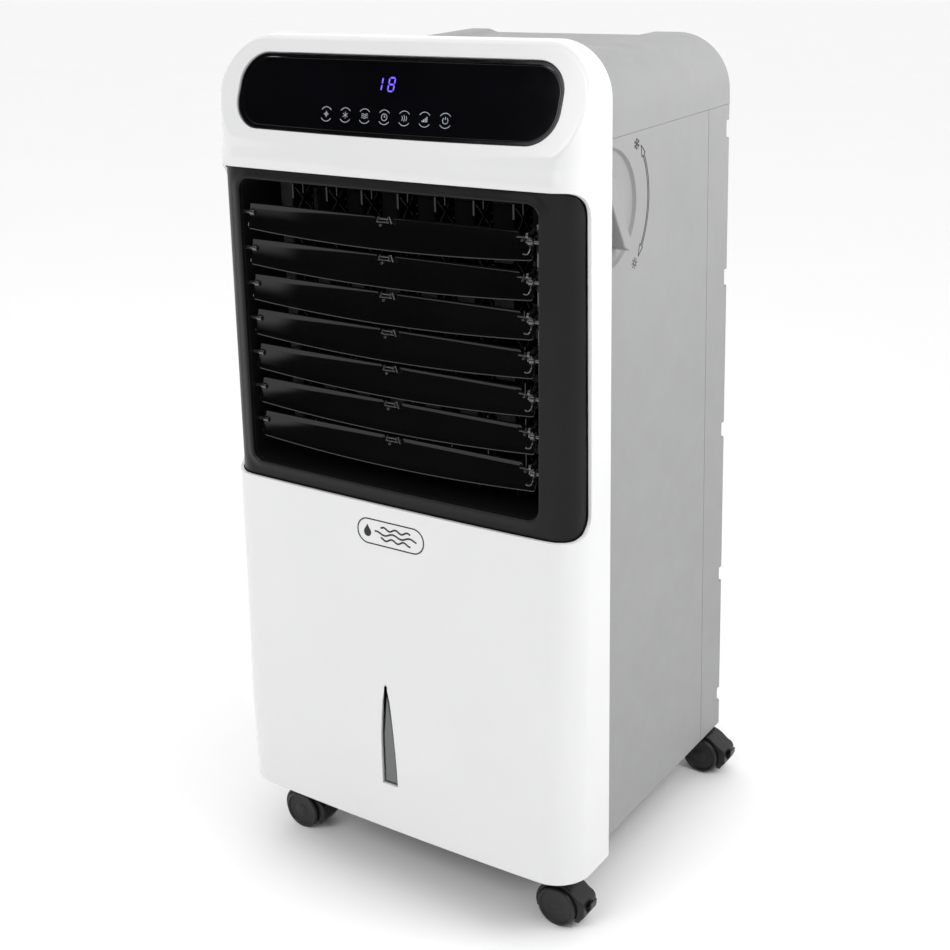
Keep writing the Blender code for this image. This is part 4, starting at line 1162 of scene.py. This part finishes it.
def make_vane_ribs(index):
    """Crossed ribs and small studs on both faces of a vane, in a ladder of cells."""
    x = (index - 3) * VANE_PITCH
    y0, y1 = VANE_Y - 0.0128, VANE_Y + 0.0100
    cells = np.linspace(0.4380, 0.6970, 12)
    bars = []
    for side in (-1, 1):
        span = sorted((x + side * 0.0009, x + side * 0.0016))
        for low, high in zip(cells, cells[1:]):
            for a, b in (((y0, low), (y1, high)), ((y0, high), (y1, low))):
                bars.append(prism(stroke([a, b], 0.0008), "X", *span))
            for z in (low + 0.004, (low + high) / 2):
                bars.append(rod("X", (y1 + 0.0022, z), 0.0011, *span, 10))
    body = f"vane_body_{index + 1}"
    # The ribs' finish is lighter than the vanes' own black: painted sheen for the light they catch.
    piece(f"vane_ribs_{index + 1}", gather(*bars), "vane_rib_painted_sheen", body, ())


# ---- grey body


def rear_shift(y, z):
    """How far the leaning rear moves a point of the body."""
    if y <= LEAN_FROM_Y:
        return 0.0
    return REAR_LEAN * (REAR_LEAN_Z - z) - TOP_TAPER * max(0.0, z - SEAM_Z)


TRAY_EDGES = ((0.0960, 0.0780, 0, 1), (-0.0900, -0.1040, 1, 0))


def top_profile(inset):
    """The top cover's cross-section, from the right seam over the sunk tray to the left seam."""
    half, top, radius = BODY_HALF - inset, BODY_TOP_Z - inset, SHOULDER - inset
    points = [(half, SEAM_Z)] + arc((half - radius, top - radius), radius, 0, 90, 24)
    for start, end, depth_from, depth_to in TRAY_EDGES:
        for share in np.linspace(0, 1, 13):
            ease = share * share * (3 - 2 * share)
            sunk = depth_from + (depth_to - depth_from) * ease
            points.append((start + (end - start) * share, top - RECESS_DEPTH * sunk))
    return points + arc((radius - half, top - radius), radius, 90, 180, 24) + [(-half, SEAM_Z)]


def make_top():
    edge = 0.0040
    stations = [(TOP_FRONT_Y, 0.0), (LEAN_FROM_Y + 0.01, 0.0)]
    stations += arc((BODY_BACK_Y - edge, edge), edge, -90, 0, 6)
    rings = []
    for y, inset in stations:
        rings.append([Vector((x, y + rear_shift(y, z), z)) for x, z in top_profile(inset)])
    inner = arch(BODY_HALF - WALL, BODY_TOP_Z - 0.0070, SHOULDER - WALL, SEAM_Z - 0.02)
    shell = cut(loft(rings), prism(inner, "Y", TOP_FRONT_Y - 0.02, 0.1650))
    piece("top_shell", shell, "body_grey", "chassis", ["top_cover"], 30)


def make_right_side():
    low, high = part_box("side_panel_right")
    inner = BODY_HALF - WALL
    panel = box((inner, BODY_HALF), (low.y, SIDE_SEAM_Y), (low.z, high.z), 0.0005, "X")
    centre = (DIAL_Y, DIAL_Z)
    cup = rod("X", centre, DIAL_RADIUS + 0.0020, BODY_HALF - 0.0055, BODY_HALF - 0.001, 96)
    dish = [(0.0500, BODY_HALF - 0.0035), (0.0525, BODY_HALF - 0.0030), (DIAL_RADIUS, BODY_HALF - 0.0004)]
    dish += [(DIAL_RADIUS + 0.0006, BODY_HALF + 0.0002), (DIAL_RADIUS + 0.0006, BODY_HALF + 0.01)]
    bore = rod("X", centre, 0.0046, BODY_HALF - 0.02, BODY_HALF + 0.01, 32)
    panel = cut(join(panel, cup), turned(dish, "X", centre, 128), bore)
    for vert in panel.verts:
        vert.co.y += rear_shift(vert.co.y, vert.co.z)
    piece("side_right_shell", panel, "body_grey", "chassis", ["side_panel_right"], 25)


def dial_spot(degrees, radius):
    return Vector((DIAL_Y, DIAL_Z)) + towards(math.radians(degrees), radius)


ARC_FROM, ARC_TO, ARC_RADIUS, ARC_HALF = -34.0, 30.0, 0.078, 0.0012


def arrow_head(degrees, way):
    """An open arrow head, drawn outside the two lines of the arc."""
    out = towards(math.radians(degrees))
    base = dial_spot(degrees, ARC_RADIUS)
    wide, tip = out * 0.0036, base + Vector((-out.y, out.x)) * way * 0.0105
    path = [base - out * ARC_HALF, base - wide, tip, base + wide, base + out * ARC_HALF]
    return [stroke(ends, 0.0010) for ends in zip(path, path[1:])]


def snowflake(centre):
    lines = star(centre, 0.0052, 3, 0.0010)
    for i in range(6):
        reach = towards(math.tau * i / 6 + math.pi / 2)
        side = Vector((-reach.y, reach.x)) * 0.0014
        knee = centre + reach * 0.0030
        lines += [stroke([knee, knee + reach * 0.0012 + side * way], 0.0008) for way in (-1, 1)]
    return lines


def sun(centre):
    lines = [stroke(arc(centre, 0.0022, 0, 359, 20), 0.0010)]
    for i in range(8):
        reach = towards(math.tau * i / 8)
        lines.append(stroke([centre + reach * 0.0034, centre + reach * 0.0052], 0.0010))
    return lines


def make_side_print():
    """The dial's double-headed arc, a snowflake at its cool end and a sun at its warm end."""
    lines = []
    for radius in (ARC_RADIUS - ARC_HALF, ARC_RADIUS + ARC_HALF):
        lines.append(stroke(arc((DIAL_Y, DIAL_Z), radius, ARC_FROM, ARC_TO, 30), 0.0011))
    lines += arrow_head(ARC_FROM, -1) + arrow_head(ARC_TO, 1)
    lines += snowflake(dial_spot(43, 0.074)) + sun(dial_spot(-48, 0.077))
    prints = [prism(line, "X", BODY_HALF + 0.00002, BODY_HALF + 0.00015) for line in lines]
    piece("dial_print", gather(*prints), "print_black", "chassis", ())


def knob_grip():
    """The dial's raised bar, pointed at one end, turned to where it rests."""
    half, wide = 0.045, 0.0065
    outline = [(-half + 0.003, -wide), (half - 0.009, -wide), (half - 0.0010, -0.0012)]
    outline += [(half - 0.0010, 0.0012), (half - 0.009, wide), (-half + 0.003, wide)]
    outline += [(-half, wide - 0.003), (-half, 0.003 - wide)]
    outline = [(DIAL_Y + a, DIAL_Z + b) for a, b in outline]
    grip = prism(outline, "X", DIAL_FLOOR + 0.0006, BODY_HALF + 0.0110, 0.0016, 4)
    return moved(grip, about((0.0, DIAL_Y, DIAL_Z), "X", DIAL_REST))


def make_knob():
    floor, centre = DIAL_FLOOR, (DIAL_Y, DIAL_Z)
    hub = [(0.0280, floor + 0.0006), (0.0300, floor + 0.0014), (0.0302, floor + 0.0030)]
    hub += [(0.0290, BODY_HALF + 0.0008), (0.0270, BODY_HALF + 0.0010)]
    spigot = rod("X", centre, 0.0040, floor - 0.008, floor + 0.001, 24)
    knob = gather(turned(hub, "X", centre, 96), knob_grip(), spigot)
    piece("knob_fine", knob, "body_grey", "mode_dial", ["mode_knob"])


# ---- castors


CASTORS = {"fl": (-0.1575, -0.1482), "fr": (0.1575, -0.1482), "rl": (-0.1575, 0.1760), "rr": (0.1575, 0.1760)}
BRAKED = ("fr", "rr")
WHEEL_RADIUS, WHEEL_HALF, TRAIL = 0.0205, 0.0175, 0.0080
HOOD_HEEL, HOOD_TIP = 0.0222, 0.0285
PEDAL_Z = WHEEL_RADIUS + 0.0020


def castor_hood(corner, x, y):
    """The curved hood over the axle, hollowed for both wheels and slotted for a pedal."""
    up = WHEEL_RADIUS
    heel, tip = x + HOOD_HEEL, x + HOOD_TIP
    profile = [(tip - 0.0075, up + 0.0146), (tip - 0.0030, up + 0.0126), (tip - 0.0006, up + 0.0090)]
    profile += [(tip, up + 0.0050), (tip, up - 0.0040), (heel, up - 0.0125)]
    hood = prism(profile + arc((x, up), 0.0246, 200, 48, 34), "Y", y - 0.0130, y + 0.0130, 0.0014, 4)
    cuts = []
    for side in (-1, 1):
        reach = sorted((y + side * 0.0085, y + side * 0.03))
        cuts.append(rod("Y", (x, up), up + 0.0009, *reach, 72))
    cuts.append(rod("Y", (x, up), 0.0033, y - 0.02, y + 0.02, 24))
    if corner in BRAKED:
        slot_z = (PEDAL_Z - 0.0044, PEDAL_Z + 0.0044)
        cuts.append(box((tip - 0.0078, tip + 0.01), (y - 0.0065, y + 0.0065), slot_z))
    return cut(hood, *cuts)


def castor_neck(x, y):
    """The turned neck with a flange, and the stem inside it."""
    low, floor = WHEEL_RADIUS + 0.018, BODY_BOTTOM_Z
    profile = [(0.0098, low), (0.0090, floor - 0.0130), (0.0076, floor - 0.0100), (0.0076, floor - 0.0040)]
    profile += [(0.0088, floor - 0.0025), (0.0088, floor - GAP)]
    return [turned(profile, "Z", (x, y), 48), rod("Z", (x, y), 0.0045, low, 0.069, 24)]


def castor_wheels(x, y):
    """Both wheels and their axle: a rounded tread and a stepped face, the same on each side."""
    radius, face = WHEEL_RADIUS, WHEEL_HALF
    half = [(0.0030, 0.0090), (radius - 0.0014, 0.0090), (radius, 0.0104), (radius, face - 0.0022)]
    half += [(radius - 0.0006, face - 0.0009), (radius - 0.0020, face), (radius - 0.0034, face - 0.0003)]
    half += [(radius - 0.0042, face - 0.0014), (0.0090, face - 0.0018), (0.0066, face - 0.0012)]
    half += [(0.0058, face - 0.0006), (0.0020, face - 0.0004)]
    profile = [(r, y - along) for r, along in reversed(half)] + [(r, y + along) for r, along in half]
    return turned(profile, "Y", (x, radius), 80)


def castor_pedal(x, y):
    a, z = x + HOOD_TIP - 0.0038, PEDAL_Z
    outline = [(a - 0.0022, z - 0.0018), (a + 0.0046, z - 0.0024), (a + 0.0066, z - 0.0014)]
    outline += [(a + 0.0080, z + 0.0022), (a + 0.0083, z + 0.0074), (a + 0.0070, z + 0.0078)]
    outline += [(a + 0.0054, z + 0.0044), (a + 0.0034, z + 0.0026), (a - 0.0022, z + 0.0024)]
    pedal = prism(outline, "Y", y - 0.0058, y + 0.0058, 0.0007, 3)
    return gather(pedal, rod("Y", (a, z), 0.0011, y - 0.0100, y + 0.0100, 16))


def make_castor(corner, x, y):
    axle_x = x + TRAIL
    hood = gather(castor_hood(corner, axle_x, y), *castor_neck(x, y))
    bodies = [("hood", f"castor_{corner}", f"castor_hood_{corner}", hood, "castor_black", 32)]
    wheels = castor_wheels(axle_x, y)
    bodies.append(("wheels", f"wheels_{corner}", f"castor_wheels_{corner}", wheels, "tyre_black", 38))
    if corner in BRAKED:
        pedal = castor_pedal(axle_x, y)
        bodies.append(("brake", f"brake_{corner}", f"castor_brake_{corner}", pedal, "castor_black", 35))
    for kind, rides, node, body, finish, sharp in bodies:
        piece(f"{kind}_{corner}_fine", body, finish, rides, [node], sharp)


# ---- fan, gland, plug, screws


FAN_Z, FAN_FRONT, FAN_BACK = 0.560, -0.0390, -0.0030


def fan_blade(reach):
    """A blade from the hub out to the rim, wider and flatter going out."""
    rings = []
    for share in np.linspace(0, 1, 9):
        chord = 0.030 + 0.020 * share
        pitch = math.radians(46 - 20 * share)
        along = Vector((math.cos(pitch), -math.sin(pitch), 0.0)) * chord / 2
        across = Vector((math.sin(pitch), math.cos(pitch), 0.0)) * 0.0010
        middle = Vector((0.0, (FAN_FRONT + FAN_BACK) / 2, 0.024 + (reach - 0.0245) * share))
        rings.append([middle - along, middle - across * 1.2, middle + along, middle + across])
    return loft(rings)


def make_fan():
    hub = [(0.006, FAN_FRONT + 0.0004), (0.016, FAN_FRONT), (0.022, FAN_FRONT + 0.003)]
    hub += [(0.026, FAN_FRONT + 0.009), (0.026, FAN_BACK)]
    parts = [turned(hub, "Y", (0.0, FAN_Z))]
    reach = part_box("fan_wheel")[1].x
    for i in range(5):
        spin = Matrix.Translation((0, 0, FAN_Z)) @ Matrix.Rotation(math.tau * i / 5, 4, "Y")
        parts.append(moved(fan_blade(reach), spin))
    piece("fan_fine", gather(*parts), "fan_grey", "fan", ["fan_wheel"])


def rear_y(z):
    return BODY_BACK_Y + rear_shift(BODY_BACK_Y, z)


def make_gland():
    x, z = 0.120, 0.2935
    y = rear_y(z)
    profile = [(0.0078, y - 0.0120), (0.0078, y - 0.0010), (0.0074, y - 0.0002), (0.0050, y)]
    gland = cut(turned(profile, "Y", (x, z), 48), rod("Y", (x, z), 0.0038, y - 0.03, y + 0.01, 32))
    piece("gland_fine", gland, "castor_black", "chassis", ["cord_gland"])


def make_screws():
    """Cross-head screws in the rear housing."""
    screws = []
    for x in (-0.158, 0.158):
        for z in (0.0700, 0.2750, 0.4900, 0.7350):
            y = rear_y(z)
            profile = [(0.0020, y + 0.0007), (0.0030, y + 0.0005), (0.0033, y + 0.00005)]
            slots = []
            for wide, high in ((0.0019, 0.0004), (0.0004, 0.0019)):
                slots.append(box((x - wide, x + wide), (y, y + 0.01), (z - high, z + high)))
            screws.append(cut(turned(profile, "Y", (x, z), 24), *slots))
    piece("rear_screws", gather(*screws), "steel", "chassis", ())


# ---- the kept nodes


def dress_nodes():
    """Finishes and edge radii of the nodes that are shown as they are."""
    dark = ["base_pan", "outlet_tunnel", "fan_shroud", "divider_plate", "damper_flap", "vane_link"]
    finishes = {
        "body_grey": (0.0008, ["side_panel_left", "rear_housing", "rear_grille"]),
        "charcoal": (0.0006, dark),
        "tank_grey": (0.0008, ["water_tank", "water_distributor"]),
        "castor_black": (0.0005, ["pump", "drain_plug", "tank_pull"]),
        "steel": (0.0006, ["fan_motor", "motor_bracket", "swing_motor"]),
        "heater_fins": (0.0005, ["ptc_heater"]),
        "wet_pad": (0.0012, ["cooling_pad"]),
        "board_green": (0.0003, ["control_board"]),
        "filter_mesh": (0.0004, ["dust_filter", "pump_riser"]),
        "blade_black": (0.0003, [f"vane_{i + 1}" for i in range(7)]),
    }
    for finish, (edge, nodes) in finishes.items():
        for node in nodes:
            dress(node, finish, edge)


# ---- studio


def make_floor():
    half = 30.0
    body = bmesh.new()
    corners = [(-half, -half), (half, -half), (half, half), (-half, half)]
    body.faces.new([body.verts.new((x, y, 0.0)) for x, y in corners])
    floor = raw_object("studio_floor", body)
    made, tree, shader = shader_of("studio_floor")
    patches = spread_to(tree, noise(tree, 3.0), 0.0, 1.0)
    coloured(tree, shader, patches, ((0.975, 0.975, 0.975), (0.985, 0.985, 0.985)))
    fill(shader, Roughness=0.9, Specular_IOR_Level=0.1)
    floor.data.materials.append(made)


# Parts of the white surroundings that are dimmed: the way to each, the cosine of the angle at
# which it starts and ends, and how much light is left there. The first two are dark flags for
# the touch glass and the blades to mirror; the others are soft falls of light.
DIMMED = (
    ((-0.589, -0.665, 0.46), (0.940, 0.972), 0.003),
    ((-0.3265, -0.9220, 0.2079), (0.9370, 0.9425), 0.02),
    ((1.0, -0.45, -0.05), (0.30, 0.95), 0.32),
    ((-1.0, -0.7, 0.0), (0.62, 1.00), 0.75),
    ((0.1, 0.0, 1.0), (0.40, 1.00), 0.80),
)


def light_left(tree, coords, way, edges, left):
    """The share of light in each direction, less towards one way."""
    aim = tree.nodes.new("ShaderNodeVectorMath")
    aim.operation = "DOT_PRODUCT"
    aim.inputs[1].default_value = Vector(way).normalized()
    tree.links.new(coords.outputs["Generated"], aim.inputs[0])
    return ranged(tree, aim.outputs["Value"], (edges, (1.0, left)), interpolation_type="SMOOTHSTEP")


def make_world():
    """White all round, dimmed in places."""
    world = bpy.data.worlds.new("studio")
    bpy.context.scene.world = world
    world.use_nodes = True
    tree = world.node_tree
    coords = tree.nodes.new("ShaderNodeTexCoord")
    strength, *others = [light_left(tree, coords, *row) for row in DIMMED]
    for share in others:
        product = tree.nodes.new("ShaderNodeMath")
        product.operation = "MULTIPLY"
        tree.links.new(strength, product.inputs[0])
        tree.links.new(share, product.inputs[1])
        strength = product.outputs["Value"]
    ground = tree.nodes["Background"]
    fill(ground, Color=(1.24, 1.24, 1.24, 1.0))
    tree.links.new(strength, ground.inputs["Strength"])


def area_light(name, spot, aim, size, power):
    light = bpy.data.lights.new(name, "AREA")
    light.shape = "RECTANGLE"
    light.size, light.size_y = size
    light.energy = power
    lamp = bpy.data.objects.new(name, light)
    lamp.location = spot
    lamp.rotation_euler = (Vector(aim) - Vector(spot)).to_track_quat("-Z", "Y").to_euler()
    lamp.visible_camera = False
    bpy.context.scene.collection.objects.link(lamp)


def make_lights():
    area_light("key", (-0.5, -2.6, 2.4), (0.0, 0.0, 0.45), (1.8, 1.2), 30)
    area_light("fill_right", (0.95, 0.05, 1.10), (0.1, 0.0, 0.75), (0.5, 0.7), 6.0)


def make_camera():
    yaw, pitch, roll = math.radians(35.872), math.radians(18.2325), math.radians(-2.2223)
    ahead = Vector((-math.sin(yaw) * math.cos(pitch), math.cos(yaw) * math.cos(pitch), -math.sin(pitch)))
    level = Vector((math.cos(yaw), math.sin(yaw), 0.0))
    raised = level.cross(ahead)
    right = level * math.cos(roll) + raised * math.sin(roll)
    up = raised * math.cos(roll) - level * math.sin(roll)
    data = bpy.data.cameras.new("camera")
    data.sensor_width = 36.0
    data.lens = 58.024
    data.shift_x, data.shift_y = 0.0719, -0.0741
    camera = bpy.data.objects.new("camera", data)
    turn = Matrix((right, up, -ahead)).transposed().to_4x4()
    camera.matrix_world = Matrix.Translation((0.7976, -1.2522, 0.9497)) @ turn
    bpy.context.scene.collection.objects.link(camera)
    bpy.context.scene.camera = camera
    bpy.context.scene.view_settings.view_transform = "Standard"


# ---- everything


make_fascia()
make_surround()
make_glass()
make_display()
make_window()
make_badge()
for blade_index in range(BLADES):
    make_blade(blade_index)
    make_vane_ribs(blade_index)
make_link()
make_top()
make_right_side()
make_side_print()
make_knob()
for castor_corner, (castor_x, castor_y) in CASTORS.items():
    make_castor(castor_corner, castor_x, castor_y)
make_fan()
make_gland()
make_screws()
dress_nodes()
make_floor()
make_world()
make_lights()
make_camera()
